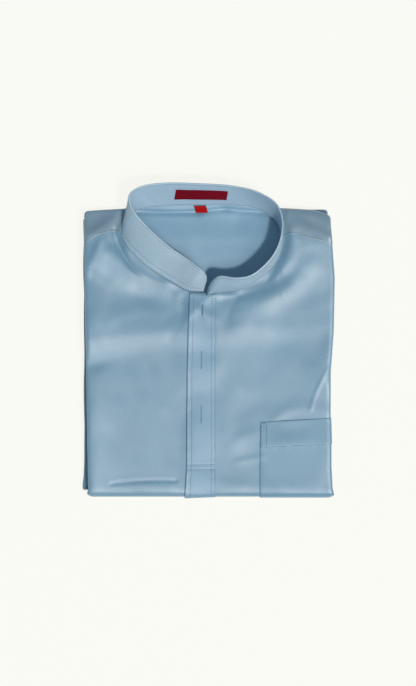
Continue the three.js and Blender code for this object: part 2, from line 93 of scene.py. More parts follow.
def makeMesh(name, points, quads, uv, material):
    # points and uv are arrays with a row a vertex, in millimetres; quads may repeat a corner for a triangle
    mesh = bpy.data.meshes.new(name)
    quads = np.asarray(quads, np.int32)
    three = quads[:, 2] == quads[:, 3]
    loops = np.where(np.repeat(three, 4) & (np.tile(np.arange(4), len(quads)) == 3), -1, quads.ravel())
    loops = loops[loops >= 0]
    sizes = np.where(three, 3, 4).astype(np.int32)
    mesh.vertices.add(len(points))
    mesh.vertices.foreach_set("co", (np.asarray(points, float) * mm).ravel())
    mesh.loops.add(len(loops))
    mesh.loops.foreach_set("vertex_index", loops.astype(np.int32))
    mesh.polygons.add(len(quads))
    mesh.polygons.foreach_set("loop_start", np.concatenate([[0], np.cumsum(sizes)[:-1]]).astype(np.int32))
    mesh.polygons.foreach_set("loop_total", sizes)
    mesh.polygons.foreach_set("use_smooth", np.ones(len(quads), bool))
    mesh.update(calc_edges=True)
    layer = mesh.uv_layers.new(name="cloth")
    layer.data.foreach_set("uv", (np.asarray(uv, float)[loops] * mm).ravel())
    mesh.validate()
    mesh.materials.append(material)
    piece = bpy.data.objects.new(name, mesh)
    bpy.context.scene.collection.objects.link(piece)
    return piece


def gridQuads(rows, columns, start=0, flip=False):
    # Quads of a grid of points stored row by row
    i, j = np.meshgrid(np.arange(rows - 1), np.arange(columns - 1), indexing="ij")
    a = (start + i * columns + j).ravel()
    quads = np.stack([a, a + 1, a + columns + 1, a + columns], axis=1)
    return quads[:, ::-1] if flip else quads


def rimQuads(rows, columns, under):
    # Quads that join the rim of one grid to the rim of another that starts at index under
    walk = np.concatenate([
        np.arange(columns - 1),
        np.arange(rows - 1) * columns + columns - 1,
        (rows - 1) * columns + np.arange(columns - 1, 0, -1),
        np.arange(rows - 1, 0, -1) * columns,
    ])
    after = np.roll(walk, -1)
    return np.stack([after, walk, walk + under, after + under], axis=1)


def closedQuads(rows, columns):
    # Two grids, the second turned over, and the rim between them
    count = rows * columns
    return np.concatenate([gridQuads(rows, columns), gridQuads(rows, columns, count, True),
                           rimQuads(rows, columns, count)])


def ringQuads(rows, columns):
    # Quads of a grid whose rows close on themselves
    i, j = np.meshgrid(np.arange(rows - 1), np.arange(columns), indexing="ij")
    a, b = (i * columns + j).ravel(), (i * columns + (j + 1) % columns).ravel()
    return np.stack([a, b, b + columns, a + columns], axis=1)


def hubFans(hub, columns, base):
    # Triangles from one hub to the first ring, and from the next hub to the ring that starts at base
    j = np.arange(columns)
    k = (j + 1) % columns
    hubs = np.full(columns, hub)
    return np.concatenate([np.stack([hubs, j, k, k], 1), np.stack([hubs + 1, base + k, base + j, base + j], 1)])


def clothBody(name, top, under, uv, material):
    # A closed piece of cloth between two grids of points, rows running up and columns to the right
    points = np.concatenate([top.reshape(-1, 3), under.reshape(-1, 3)])
    flat = uv.reshape(-1, 2)
    return makeMesh(name, points, closedQuads(*top.shape[:2]), np.concatenate([flat, flat + [3.0, 5.0]]),
                    material)


def secondMaterial(piece, material, faces):
    # faces is 1 for each polygon that takes the second material, and 0 for the others
    piece.data.materials.append(material)
    which = np.zeros(len(piece.data.polygons), np.int32)
    which[:len(faces)] = faces
    piece.data.polygons.foreach_set("material_index", which)


def surfaceArea(grid):
    # Half the length of each quad's crossed diagonals, added up, in square metres
    d1 = grid[1:, 1:] - grid[:-1, :-1]
    d2 = grid[:-1, 1:] - grid[1:, :-1]
    return float(np.linalg.norm(np.cross(d1, d2), axis=-1).sum() / 2 * mm * mm)


def nodeTree(material):
    # A plain tree: one Principled shader into the output
    material.use_nodes = True
    tree = material.node_tree
    tree.nodes.clear()
    output = tree.nodes.new("ShaderNodeOutputMaterial")
    shader = tree.nodes.new("ShaderNodeBsdfPrincipled")
    tree.links.new(shader.outputs["BSDF"], output.inputs["Surface"])
    return tree, shader


def addNode(tree, kind, links=(), **values):
    # A node with plain values set on it, and links given as (input name, output socket)
    node = tree.nodes.new(kind)
    for key, value in values.items():
        if key in node.inputs:
            node.inputs[key].default_value = value
        else:
            setattr(node, key, value)
    for name, socket in links:
        tree.links.new(socket, node.inputs[name])
    return node


def noise(tree, place, scale, detail, roughness):
    # Soft noise between 0 and 1, read at a place of the cloth
    return addNode(tree, "ShaderNodeTexNoise", [("Vector", place)],
                   Scale=scale, Detail=detail, Roughness=roughness).outputs["Fac"]


def stretched(tree, place, across, along):
    # The cloth's own place, in threads: its length over the width and the length of a float
    node = addNode(tree, "ShaderNodeMapping", [("Vector", place)], Scale=(1000 / across, 1000 / along, 1.0))
    return node.outputs["Vector"]


def ranged(tree, value, low, high, toLow, toHigh):
    # A straight line from (low, toLow) to (high, toHigh), level beyond both
    node = addNode(tree, "ShaderNodeMapRange", [("Value", value)])
    for key, number in zip(("From Min", "From Max", "To Min", "To Max"), (low, high, toLow, toHigh)):
        node.inputs[key].default_value = number
    return node.outputs["Result"]


def satin(name, color, roughness=0.44, sheen=0.10, gloss=0.5, weave=0.13, floatLength=1.6, threadWidth=0.22,
          mottle=0.05, speck=0.09, grain=0.10):
    # Satin weave: long floats lie side by side, so the bump is a fine noise stretched along the warp,
    # crossed by a weaker one along the weft; the colour drifts a little and each float differs a little,
    # colour = base (1 +- mottle) (1 +- speck) (1 +- grain)
    material = bpy.data.materials.new(name)
    tree, shader = nodeTree(material)
    place = addNode(tree, "ShaderNodeUVMap", uv_map="cloth").outputs["UV"]
    warp = noise(tree, stretched(tree, place, threadWidth, floatLength), 1.0, 1.0, 0.4)
    weft = noise(tree, stretched(tree, place, floatLength * 0.6, threadWidth), 1.0, 0.0, 0.4)
    both = addNode(tree, "ShaderNodeMath", [(0, warp), (1, weft)], operation="ADD")
    bump = addNode(tree, "ShaderNodeBump", [("Height", both.outputs["Value"])], Strength=weave, Distance=0.0002)
    drift = noise(tree, place, 22.0, 2.0, 0.5)
    shade = addNode(tree, "ShaderNodeValToRGB", [("Fac", drift)])
    for element, at, factor in zip(shade.color_ramp.elements, (0.3, 0.7), (1 - mottle, 1 + mottle)):
        element.position = at
        element.color = (*[c * factor for c in color], 1)
    fibre = ranged(tree, warp, 0.25, 0.75, 1 - speck, 1 + speck)
    slub = ranged(tree, noise(tree, place, 900.0, 1.0, 0.5), 0.3, 0.7, 1 - grain, 1 + grain)
    spots = addNode(tree, "ShaderNodeMath", [(0, fibre), (1, slub)], operation="MULTIPLY")
    tinted = addNode(tree, "ShaderNodeVectorMath", [(0, shade.outputs["Color"])], operation="SCALE")
    tree.links.new(spots.outputs["Value"], tinted.inputs["Scale"])
    tree.links.new(tinted.outputs["Vector"], shader.inputs["Base Color"])
    tree.links.new(ranged(tree, drift, 0.3, 0.7, roughness - 0.03, roughness + 0.03), shader.inputs["Roughness"])
    tree.links.new(bump.outputs["Normal"], shader.inputs["Normal"])
    for key, number in (("Sheen Weight", sheen), ("Sheen Roughness", 0.45), ("IOR", 2.0),
                        ("Specular IOR Level", gloss)):
        shader.inputs[key].default_value = number
    return material


colors = dict(
    body=(0.155, 0.287, 0.386),
    # yoke: the body's satin made darker and greyer, painted shade for the shoulders where they slope away from the
    # lamps
    yokePaintedShade=(0.172, 0.265, 0.335),
    # band: the body's satin made much lighter and greyer, painted light on the upright neck band
    band=(0.325, 0.445, 0.530),
    # lining: the band's inner face, the body's satin made much lighter, painted light on it
    liningPaintedLight=(0.365, 0.492, 0.600),
    placket=(0.150, 0.292, 0.405),
    pocket=(0.130, 0.270, 0.375),
    inside=(0.168, 0.328, 0.452),
    # layers: the body's satin made darker, painted shade on the folded layers under the top one
    layers=(0.110, 0.220, 0.300),
    # thread: darker than the cloth, painted shade of the needle holes along the stitch rows
    thread=(0.040, 0.090, 0.140),
    holes=(0.285, 0.380, 0.470),
    label=(0.175, 0.001, 0.010),
    tab=(0.420, 0.004, 0.006),
)
bodySatin = satin("bodySatin", colors["body"])
# Shoulder satin with painted shade: darker and greyer than the body's
yokeSatinPaintedShade = satin("yokeSatinPaintedShade", colors["yokePaintedShade"])
# Neck band satin with painted light: much lighter than the body's
bandSatinPaintedLight = satin("bandSatinPaintedLight", colors["band"], roughness=0.50, weave=0.22, mottle=0.07, speck=0.14, grain=0.15)
# Inner face of the neck band, with painted light: much lighter than the body's satin
bandLiningPaintedLight = satin("bandLiningPaintedLight", colors["liningPaintedLight"], roughness=0.50, weave=0.20, mottle=0.06, grain=0.12)
placketSatin = satin("placketSatin", colors["placket"], roughness=0.50)
pocketSatin = satin("pocketSatin", colors["pocket"])
insideSatin = satin("insideSatin", colors["inside"], roughness=0.52)
# Satin of the folded layers, with painted shade: darker than the body's
layerSatinPaintedShade = satin("layerSatinPaintedShade", colors["layers"], roughness=0.55)
thread = dict(roughness=0.5, gloss=0.2, weave=0.3, threadWidth=0.08, floatLength=0.3)
# Sewing thread, darkened as painted shade of its needle holes
sewingThreadPaintedShade = satin("sewingThreadPaintedShade", colors["thread"], **thread)
holeThread = satin("holeThread", colors["holes"], **thread)
ribbon = dict(roughness=0.7, sheen=0.0, gloss=0.04, threadWidth=0.3, floatLength=0.5)
labelRibbon = satin("labelRibbon", colors["label"], weave=0.35, mottle=0.10, speck=0.16, **ribbon)
tabRibbon = satin("tabRibbon", colors["tab"], weave=0.3, mottle=0.06, speck=0.12, **ribbon)
print("materials made")

bodyForm = dict(
    halfWidth=124.0, bottom=-155.85, top=135.5,   # flat part, inside the rolled edges
    level=17.1,                                   # underside of the front panel
    sideRoll=3.6, bottomRoll=7.75,                # radius of the rolled edges
    sideTurn=150.0, bottomTurn=155.0,             # how far the cloth goes round them, degrees
    sideCloth=13.0, bottomCloth=24.0,             # cloth that goes round them
    squared=0.66,                                 # power that presses the rolled edges: 1 round, 0 square
    pointed=0.7,                                  # corners of the bottom fold: 0 round, 1 square
    slopeFrom=104.0, slopeRun=34.0, slopeLoss=0.28,   # the pack thins towards the shoulders
    fall=5.0, fallFrom=60.0, fallRun=80.0,        # the upper edge falls off towards both sides
    cornerFall=4.5, cornerFrom=106.0, cornerRun=22.0,
    pocketRise=4.2,                               # the pocket's side is pulled up where it starts
    foldEdge=(129.0, -165.0, 140.0),              # creases fade here: sides, bottom, top
    dish=0.00011,                                 # packed seams lift both sides by this times x^2
)
# Upright lines of the front: left fold, placket's edges, pocket's edge, right fold; and where they stand
# at six heights up the folded front
plainLines = np.array([-129.0, -22.0, 7.5, 54.5, 129.0])
slantRows = np.array([
    [-164.9, -126.3, -25.2, 7.4, 53.7, 130.1],
    [-135.5, -126.9, -23.3, 7.4, 53.7, 128.3],
    [-34.7, -128.6, -22.6, 7.4, 54.6, 128.6],
    [10.5, -129.5, -21.5, 7.4, 54.6, 131.8],
    [66.0, -130.3, -19.4, 7.9, 54.6, 132.8],
    [131.3, -130.7, -19.1, 7.9, 54.6, 128.6],
])

# Folds of the satin: start x, y, end x, y, bow to the left, spread on the left, on the right, height.
# The first three are given one by one; the others are fitted to the photograph's light and dark and rounded.
# A flank that falls to the lower right is bright.
clothFolds = [
    [108, -74, 130, -24, 2, 2, 2, 0.35],
    [-94, 106, -75, 70, -3, 2, 2, -0.4],
    [-102, -151, -34, -148, 1.5, 2, 2, -0.5],
    [80, 133, 129, 138, -1, 10, 12.5, 3],
    [87, 110, 29, 47, 18, 13, 7, 3.1],
    [28, 46, 73, 63, -2, 9.5, 7, -2.8],
    [87, 134, 100, 116, 1.5, 12, 10, 2.2],
    [-136, 2, -24, 10, 3.5, 23.5, 15, 2.2],
    [-103, 92, -81, 66, -0.5, 9.5, 15, 2.1],
    [105, 80, 39, 30, 8, 13.5, 10, 1.85],
    [-121, 115, -94, 135, -1, 6, 7, 1.3],
    [-116, 84, -110, 112, 1, 10.5, 11.5, 1.55],
    [-34, 50, -26, 34, 2, 5.5, 7, -1.3],
    [-98, 43, -42, 41, 4, 13, 12, -1.3],
    [101, 97, 96, 82, -1, 10.5, 10.5, 1.35],
    [-96, 104, -80, 66, -1.5, 7.5, 11, -1.35],
    [-19, 35, 0, 25, 0, 6, 7.5, 1.15],
    [21, 10, 54, 15, 0.5, 14, 15, 0.95],
    [123, -30, 135, 3, 2, 10, 6, 0.9],
    [-120, -26, -134, -23, 0.5, 7, 6.5, -0.9],
    [21, 32, 30, 18, -1.5, 12.5, 12, 0.9],
    [-99, 116, -80, 75, -2.5, 3, 2.5, -1],
    [-14, -95, 16, -96, 1, 18.5, 13, 0.8],
    [83, 123, 129, 114, 1.5, 9.5, 7.5, 0.95],
    [-19, -29, 3, -30, -1.5, 14.5, 16.5, 0.8],
    [8, 13, 8, 45, 0, 9, 7, 0.75],
    [-113, 34, -87, 45, 2, 10.5, 11, 0.75],
    [-134, -26, -91, -23, 2.5, 12.5, 13.5, -0.75],
    [-86, 98, -88, 129, 0.5, 6, 6.5, 0.85],
    [-2, 3, 134, 20, 0, 17, 13, 0.7],
    [76, 118, 89, 145, 0, 3, 3.5, 0.7],
    [-44, 59, -33, 50, 0, 4, 5, 0.7],
    [110, 135, 127, 126, 1.5, 5.5, 5, 0.7],
    [-96, 119, -93, 134, 0.5, 2.5, 2.5, -0.7],
    [-120, 64, -81, 51, 3, 9, 11.5, -0.65],
    [-48, 20, -33, 30, -1, 7.5, 9, -0.65],
    [131, -56, 111, -31, 0, 8.5, 7.5, 0.65],
    [-92, -154, -41, -155, 0, 7.5, 5, 0.65],
    [51, 108, 74, 131, 0, 6.5, 6.5, 0.75],
    [-112, -87, -122, -74, 0, 7.5, 8.5, 0.6],
    [-83, 75, -94, 86, 0.5, 7, 6, 0.7],
    [-53, 87, -82, 100, 0, 6.5, 6.5, 0.7],
    [73, 101, 80, 114, 1, 7.5, 8, 0.7],
    [-127, 74, -114, 103, 0, 3, 5.5, 0.7],
    [-61, 42, -27, 18, 2, 10.5, 10.5, -0.6],
    [62, 61, 34, 48, 4, 7, 3.5, -0.7],
    [-102, 63, -126, 83, 0, 7.5, 7, 0.65],
    [76, 97, 74, 129, -0.5, 6, 6, -0.65],
    [-97, 133, -64, 132, 0, 6.5, 6.5, 0.55],
    [34, 94, 65, 92, 0.5, 7, 7, 0.65],
    [35, -104, 48, -99, 0.5, 8, 11, 0.55],
    [61, 63, 37, 49, 1, 4, 4.5, -0.65],
    [68, 78, 81, 108, -0.5, 6.5, 6.5, -0.65],
    [-119, 117, -107, 126, -0.5, 4, 4, 0.55],
    [118, 99, 115, 60, 1.5, 10, 11, 0.6],
    [-20, -118, 20, -109, 2, 13, 13, 0.5],
    [-25, -138, 22, -153, -2, 8.5, 7, 0.5],
    [79, -78, 122, -79, 4.5, 9, 6.5, 0.5],
    [-5, 42, -3, 19, -1, 6, 7.5, 0.5],
    [90, 32, 126, 44, -2, 11, 10.5, 0.5],
    [79, -17, 113, -47, 3.5, 13, 15.5, 0.5],
    [-120, 57, -106, 22, -1.5, 8.5, 7, 0.5],
    [-69, -170, -92, -151, -0.5, 8, 8, -0.45],
    [-77, 73, -34, 49, -0.5, 3, 5, 0.45],
    [-89, 119, -94, 132, 0.5, 2.5, 3, -0.45],
    [-102, 104, -114, 134, 1, 6, 6, -0.45],
    [-114, -164, -100, -161, -0.5, 6.5, 6.5, -0.45],
    [100, 129, 119, 114, 0.5, 5, 6, -0.5],
    [-16, -161, -1, -160, 0.5, 4.5, 3, -0.45],
    [-101, -55, -124, -32, 0.5, 7.5, 7, -0.4],
    [-122, -149, -122, -121, 0, 6.5, 8.5, 0.4],
    [41, -154, 72, -156, 0.5, 8, 5, 0.4],
    [-51, -72, -61, -64, 0, 9, 7.5, 0.4],
    [61, 70, 51, 78, 0.5, 6.5, 7, -0.45],
    [-82, -120, -108, -95, 0.5, 7, 8.5, -0.35],
    [-115, 8, -125, 37, 0.5, 7.5, 6.5, 0.35],
    [63, -140, 86, -155, -2.5, 9, 7, 0.35],
    [-63, -28, -73, -18, -0.5, 7.5, 8.5, -0.35],
    [-21, -78, -28, -137, -1, 9.5, 9, -0.35],
    [-128, -66, -126, -33, 0.5, 6.5, 6, -0.35],
    [-90, 18, -60, 25, 0, 6.5, 6.5, -0.35],
    [32, -76, 52, -66, 0.5, 12.5, 10.5, -0.35],
    [27, -49, 3, -24, 0, 7, 6, 0.35],
    [-21, 24, 3, 47, 1, 4, 4.5, 0.3],
    [-114, 8, -71, 11, 0.5, 8.5, 7, -0.3],
    [116, -170, 128, -145, -1, 8.5, 6.5, -0.3],
    [30, 43, 21, 23, -1.5, 3.5, 5, -0.3],
    [35, -127, 52, -124, 0, 4, 4.5, 0.3],
    [101, 124, 131, 112, -0.5, 3.5, 4.5, 0.35],
    [96, 68, 72, 57, 3.5, 9, 6, -0.35],
    [-80, 97, -60, 77, -1, 5, 3.5, 0.35],
    [-39, 8, -41, 39, 0, 7, 7, -0.25],
    [84, -3, 56, -32, -1.5, 12, 14, -0.25],
    [65, -109, 100, -108, 0.5, 7.5, 6.5, 0.25],
    [-114, -123, -122, -91, 1, 7, 8, 0.25],
    [-18, -57, 10, -57, 2.5, 8.5, 8.5, -0.25],
    [88, 66, 75, 70, 0, 6.5, 6.5, 0.25],
]


def foldHeight(x, y, rows):
    # Along a bent line, height times exp(-(side / spread)^2), fading out past both ends
    total = np.zeros_like(x)
    for x1, y1, x2, y2, bow, left, right, height in rows:
        runX, runY = x2 - x1, y2 - y1
        length = math.hypot(runX, runY)
        share = ((x - x1) * runX + (y - y1) * runY) / length**2
        side = ((y - y1) * runX - (x - x1) * runY) / length - bow * 4 * share * (1 - share)
        beyond = np.maximum(0, np.maximum(-share, share - 1)) * length
        spread = np.where(side > 0, left, right)
        fade = min(14.0, 1.6 * max(left, right))
        total += height * np.exp(-(side / spread) ** 2 - (beyond / fade) ** 2)
    return total


def relief(x, y):
    # All folds, held off the rolled edges, a slow unevenness, and a dish of x^2
    f = bodyForm
    side, low, high = f["foldEdge"]
    fromEdge = np.minimum(np.minimum(side - np.abs(x), y - low), high - y)
    uneven = 0.10 * np.sin(x / 21.0 + 1.3 * np.sin(y / 34.0)) * np.cos(y / 26.0 + 0.8 * np.sin(x / 40.0))
    folds = foldHeight(x, y, clothFolds) * softStep((fromEdge + 4) / 7)
    return folds + uneven * softStep(fromEdge / 10) + f["dish"] * x**2


def thinned(y):
    # Share of the full height: 1, less a soft step towards the shoulders
    f = bodyForm
    return 1 - f["slopeLoss"] * softStep((y - f["slopeFrom"]) / f["slopeRun"])


def slanted(x, y):
    # A plain rectangular place moved to where it lies: each upright line is led along its own course, places
    # between two lines keep their share of the way, and the upper edge drops with x^2 to both sides
    f = bodyForm
    lines = np.stack([np.interp(y, slantRows[:, 0], slantRows[:, k + 1]) for k in range(5)])
    k = np.clip(np.searchsorted(plainLines, x) - 1, 0, 3)
    share = np.clip((x - plainLines[k]) / (plainLines[k + 1] - plainLines[k]), 0, 1)
    low = np.take_along_axis(lines, k[None], 0)[0]
    high = np.take_along_axis(lines, k[None] + 1, 0)[0]
    outside = np.maximum(0, np.abs(x) - plainLines[4]) * np.sign(x)
    corner = np.clip((x - f["cornerFrom"]) / f["cornerRun"], 0, 1)
    fall = f["fall"] * (x / 129.0) ** 2 + f["cornerFall"] * corner**2
    drop = fall * np.clip((y - f["fallFrom"]) / f["fallRun"], 0, 1.1)
    lift = (f["pocketRise"] * np.clip((x - 54.5) / 74.5, 0, 1) * np.clip((y + 160) / 42, 0, 1)
            * np.clip((-20 - y) / 60, 0, 1))
    return low + share * (high - low) + outside, y - drop + lift


def unslanted(x, y):
    # The plain place of a real one, found by correcting four times for the miss
    plainX, plainY = np.array(x, float), np.array(y, float)
    for _ in range(4):
        realX, realY = slanted(plainX, plainY)
        plainX, plainY = plainX + x - realX, plainY + y - realY
    return plainX, plainY


def bodyPlace(a, b, lift):
    # a and b run across and up the cloth. Inside the flat part they are the plain place; beyond it the
    # cloth turns round a roll of radius r: out = (r + lift) sin(turn), height = level - r + (r + lift) cos(turn),
    # with sine and cosine raised to a power below 1, which squares the fold like a pressed edge
    f = bodyForm
    a, b, lift = np.broadcast_arrays(np.asarray(a, float), np.asarray(b, float), np.asarray(lift, float))
    coreX, coreY = np.clip(a, -f["halfWidth"], f["halfWidth"]), np.clip(b, f["bottom"], f["top"])
    below = b < f["bottom"]
    turnX = np.clip((np.abs(a) - f["halfWidth"]) / f["sideCloth"], 0, 1)
    turnY = np.clip(np.where(below, (f["bottom"] - b) / f["bottomCloth"], (b - f["top"]) / f["sideCloth"]), 0, 1)
    turn = np.maximum(turnX, turnY)
    heading = np.arctan2(turnY, turnX)
    share = np.where(below, softStep(heading / (math.pi / 2)), 0)
    roll = f["sideRoll"] + share * (f["bottomRoll"] - f["sideRoll"])
    angle = turn * np.radians(f["sideTurn"] + share * (f["bottomTurn"] - f["sideTurn"]))
    radius = roll + lift
    square = np.maximum(np.cos(heading), np.sin(heading)) ** -np.where(below, f["pointed"], 0.3)
    headX, headY = np.cos(heading) * np.sign(a) * square, np.sin(heading) * np.where(below, -1, 1) * square
    power = f["squared"] - 0.28 * (1 - share)
    sine, cosine = np.sin(angle) ** power, np.sign(np.cos(angle)) * np.abs(np.cos(angle)) ** power
    out, plainOut = radius * sine, roll * sine
    height = relief(coreX + plainOut * headX, coreY + plainOut * headY) * np.maximum(0, np.cos(angle))
    x, y = slanted(coreX + out * headX, coreY + out * headY)
    z = (f["level"] - roll + radius * cosine + height) * thinned(y)
    return np.stack([x, y, z], axis=-1)


# Neck band: where it is sewn on (x, y, level), and how far its free edge leans and rises from there.
bandRows = np.array([
    [-5.4, 50.0, 18.4, 7.4, 24.0, 13.0],
    [-21.5, 51.8, 18.3, 13.4, 24.2, 12.0],
    [-40.5, 62.0, 18.0, 17.9, 23.8, 10.5],
    [-58.3, 73.5, 18.0, 20.0, 23.4, 10.0],
    [-74.0, 86.1, 18.0, 19.4, 24.4, 11.5],
    [-86.0, 99.0, 17.9, 16.6, 25.6, 14.5],
    [-91.4, 112.0, 17.8, 12.6, 24.4, 19.5],
    [-89.0, 124.5, 18.8, 6.6, 21.8, 23.0],
    [-79.5, 134.6, 18.9, -2.6, 17.6, 25.7],
    [-64.0, 139.9, 17.6, -6.8, 20.4, 23.0],
    [-42.0, 141.8, 16.8, -5.0, 22.3, 21.6],
    [-8.9, 142.4, 16.8, 0.0, 21.0, 23.2],
    [22.0, 142.3, 16.8, 3.2, 18.5, 25.0],
    [45.0, 140.4, 17.0, 6.2, 14.0, 27.3],
    [62.5, 132.6, 19.0, 8.8, 8.7, 29.0],
    [73.5, 121.6, 18.8, 3.6, 2.0, 31.1],
    [76.2, 106.5, 17.8, -0.7, 0.6, 31.5],
    [70.2, 89.5, 17.6, -1.4, 1.2, 31.2],
    [59.0, 73.6, 17.7, -2.6, 2.4, 31.0],
    [46.0, 62.0, 17.9, -3.4, 4.6, 30.4],
    [29.6, 53.0, 18.0, -1.6, 11.8, 28.6],
    [13.6, 49.9, 18.2, -1.0, 17.2, 26.0],
    [-1.6, 49.4, 18.4, 1.2, 17.6, 25.4],
])
band = dict(
    thickness=1.9,
    # How the free corners are rounded: distance from the end along the seam, share of the height there
    leftEnd=((0, 0.47), (0.7, 0.56), (1.6, 0.63), (3, 0.70), (5, 0.775), (8, 0.85), (12, 0.915), (17, 0.96),
             (22, 0.988), (28, 1)),
    rightEnd=((0, 0.10), (0.5, 0.22), (1.2, 0.33), (2.2, 0.44), (4, 0.60), (6, 0.73), (8.5, 0.85), (12, 0.94),
              (16, 0.985), (21, 1)),
    height=31.5,
    edgeStitch=1.9, seamStitch=1.3, secondStitch=5.6,
    bulge=4.2, bulgeFrom=290.0,        # the right front bows out
    stations=330, across=22,
)
# Creases of the band, as rows of clothFolds: the run along its seam stands for x, the height on it for y
bandFolds = [
    [-3, 0, -3, 31, 0, 14, 17, -1.8],
    [66, -4, 58, 36, 0, 15, 22, 1.5],
    [40, 20, 54, 8, 1, 3, 3, -0.3],
    [46, 27, 66, 15, 1, 3, 4, 0.3],
    [84, 26, 96, 6, 1, 6, 6, 0.25],
    [22, 24, 30, 6, 0, 4, 5, -0.3],
    [352, 4, 362, 22, 0, 4, 4, -0.3],
    [196, 8, 204, 24, 0, 3, 3, -0.35],
    [170, 22, 178, 6, 0, 3, 4, 0.3],
    [300, 24, 306, 6, 0, 4, 5, -0.3],
]
bandLevel = bandRows[:, 2] * thinned(bandRows[:, 1])
seamRows = np.stack([bandRows[:, 0], bandRows[:, 1], bandLevel], axis=1)
freeRows = seamRows + bandRows[:, 3:6]
denseShares = np.linspace(0, 1, 1200)
denseSeam = smoothLine(seamRows, denseShares)
seamRun = np.concatenate([[0], np.cumsum(np.linalg.norm(np.diff(denseSeam, axis=0), axis=1))])
seamLength = seamRun[-1]
seamAhead = unit(np.gradient(denseSeam[:, :2], axis=0))
seamOut = np.stack([-seamAhead[:, 1], seamAhead[:, 0]], axis=1)


def neckLine(margin):
    # The seam seen from above, moved outwards by a margin
    return denseSeam[:, :2] + seamOut * margin


shoulderLeft = np.array([[-150, 96], [-130, 100.8], [-124.4, 107.1], [-116, 111.3], [-108.7, 113.9],
                         [-99.2, 115], [-91.6, 115.6]])
shoulderRight = np.array([[76.6, 110.3], [80, 110.8], [84.9, 112.9], [92.7, 112.4], [99.8, 109.2],
                          [113.9, 106.1], [129.3, 101.9], [150, 98]])


def edgeAt(a, line):
    # A line of real places, moved to plain ones and read at each a from left to right
    x, y = unslanted(line[:, 0], line[:, 1])
    order = np.argsort(x)
    return np.interp(a, x[order], y[order])


def neckEnds():
    # The neck seam from above, and the rows of its leftmost and rightmost places
    neck = neckLine(0.25)
    return neck, np.argmin(np.where(denseShares < 0.5, neck[:, 0], 999)), np.argmax(neck[:, 0])


def frontTop(a):
    # Upper edge of the front: left shoulder seam, neck seam, right shoulder seam
    neck, low, high = neckEnds()
    left, right = neck[:low + 1], neck[high:]
    line = np.concatenate([shoulderLeft, left[left[:, 1] < 115.5], right[right[:, 1] < 110.2], shoulderRight])
    return edgeAt(np.clip(a, -131, 131), line)


def shoulderBottom(a):
    # Lower edge of the back where it comes over the shoulders; behind the neck only the roll's lower half
    f = bodyForm
    neck, low, high = neckEnds()
    behind = neck[low:high + 1]
    line = np.concatenate([shoulderLeft, behind[behind[:, 1] > 110.4], shoulderRight])
    edge = edgeAt(np.clip(a, -131, 131), line)
    onRoll = np.degrees(np.arcsin(np.clip((edge - f["top"]) / (f["sideRoll"] + 1.4), 0, 1)))
    return np.minimum(edge, f["top"]) + onRoll / f["sideTurn"] * f["sideCloth"]


def acrossBody(step):
    # Lines of cloth from the end of the left roll to the end of the right one
    f = bodyForm
    return np.concatenate([
        linesBetween(-f["halfWidth"] - f["sideCloth"], -f["halfWidth"], 1.1)[:-1],
        linesBetween(-f["halfWidth"], f["halfWidth"], step),
        linesBetween(f["halfWidth"], f["halfWidth"] + f["sideCloth"], 1.1)[1:]])


def stitchRun(path, normals, length=1.25, gap=1.35, radius=0.30, skip=0.6):
    # Short threads along a line: at even steps a six-sided spindle, half sunk, its ends dipping into the cloth
    run = np.concatenate([[0], np.cumsum(np.linalg.norm(np.diff(path, axis=0), axis=1))])
    centres = np.arange(skip + length / 2, run[-1] - length / 2, length + gap)
    if len(centres) == 0:
        return np.zeros((0, 3)), np.zeros((0, 4), int), np.zeros((0, 2))

    def along(values, at):
        return np.stack([np.interp(at, run, values[:, k]) for k in range(3)], axis=-1)

    ends = np.stack([along(path, centres - length / 2), along(path, centres + length / 2)])
    middle, ahead = (ends[0] + ends[1]) / 2, unit(ends[1] - ends[0])
    up = unit(along(normals, centres))
    aside = unit(np.cross(up, ahead))
    t = np.array([-0.5, -0.44, -0.24, 0.0, 0.24, 0.44, 0.5])
    thick = np.array([0.15, 0.7, 1.0, 1.0, 1.0, 0.7, 0.15])
    turn = np.arange(6) * math.pi / 3
    x = np.repeat(t, 6) * length
    y = np.outer(thick, np.cos(turn)).ravel() * radius
    z = np.outer(thick, np.sin(turn)).ravel() * radius * 0.8 - np.repeat((2 * t) ** 4, 6) * radius * 0.6
    points = (middle[:, None] + ahead[:, None] * x[None, :, None] + aside[:, None] * y[None, :, None]
              + up[:, None] * z[None, :, None])
    caps = np.array([[3, 2, 1, 0], [5, 4, 3, 0], [36, 37, 38, 39], [36, 39, 40, 41]])
    quads = np.concatenate([ringQuads(7, 6), caps])
    quads = (quads[None] + (np.arange(len(centres)) * 42)[:, None, None]).reshape(-1, 4)
    uv = np.stack([np.repeat(t, 6) * length, np.tile(turn, 7) * radius], axis=1)
    return points.reshape(-1, 3), quads, np.tile(uv, (len(centres), 1))


def joinRuns(name, runs, material):
    # Several stitch runs as one piece
    points, quads, uvs, count = [], [], [], 0
    for p, q, uv in runs:
        points.append(p)
        quads.append(q + count)
        uvs.append(uv)
        count += len(p)
    return makeMesh(name, np.concatenate(points), np.concatenate(quads), np.concatenate(uvs), material)


def bodyStitch(a, b, lift, **sizes):
    # Stitches on the folded body along a line of cloth places
    path = bodyPlace(a, b, lift)
    return stitchRun(path, bodyPlace(a, b, lift + 1.0) - path, **sizes)


front = dict(under=0.45, outer=1.4, step=1.65)       # underside and outside above the body's level, grid step


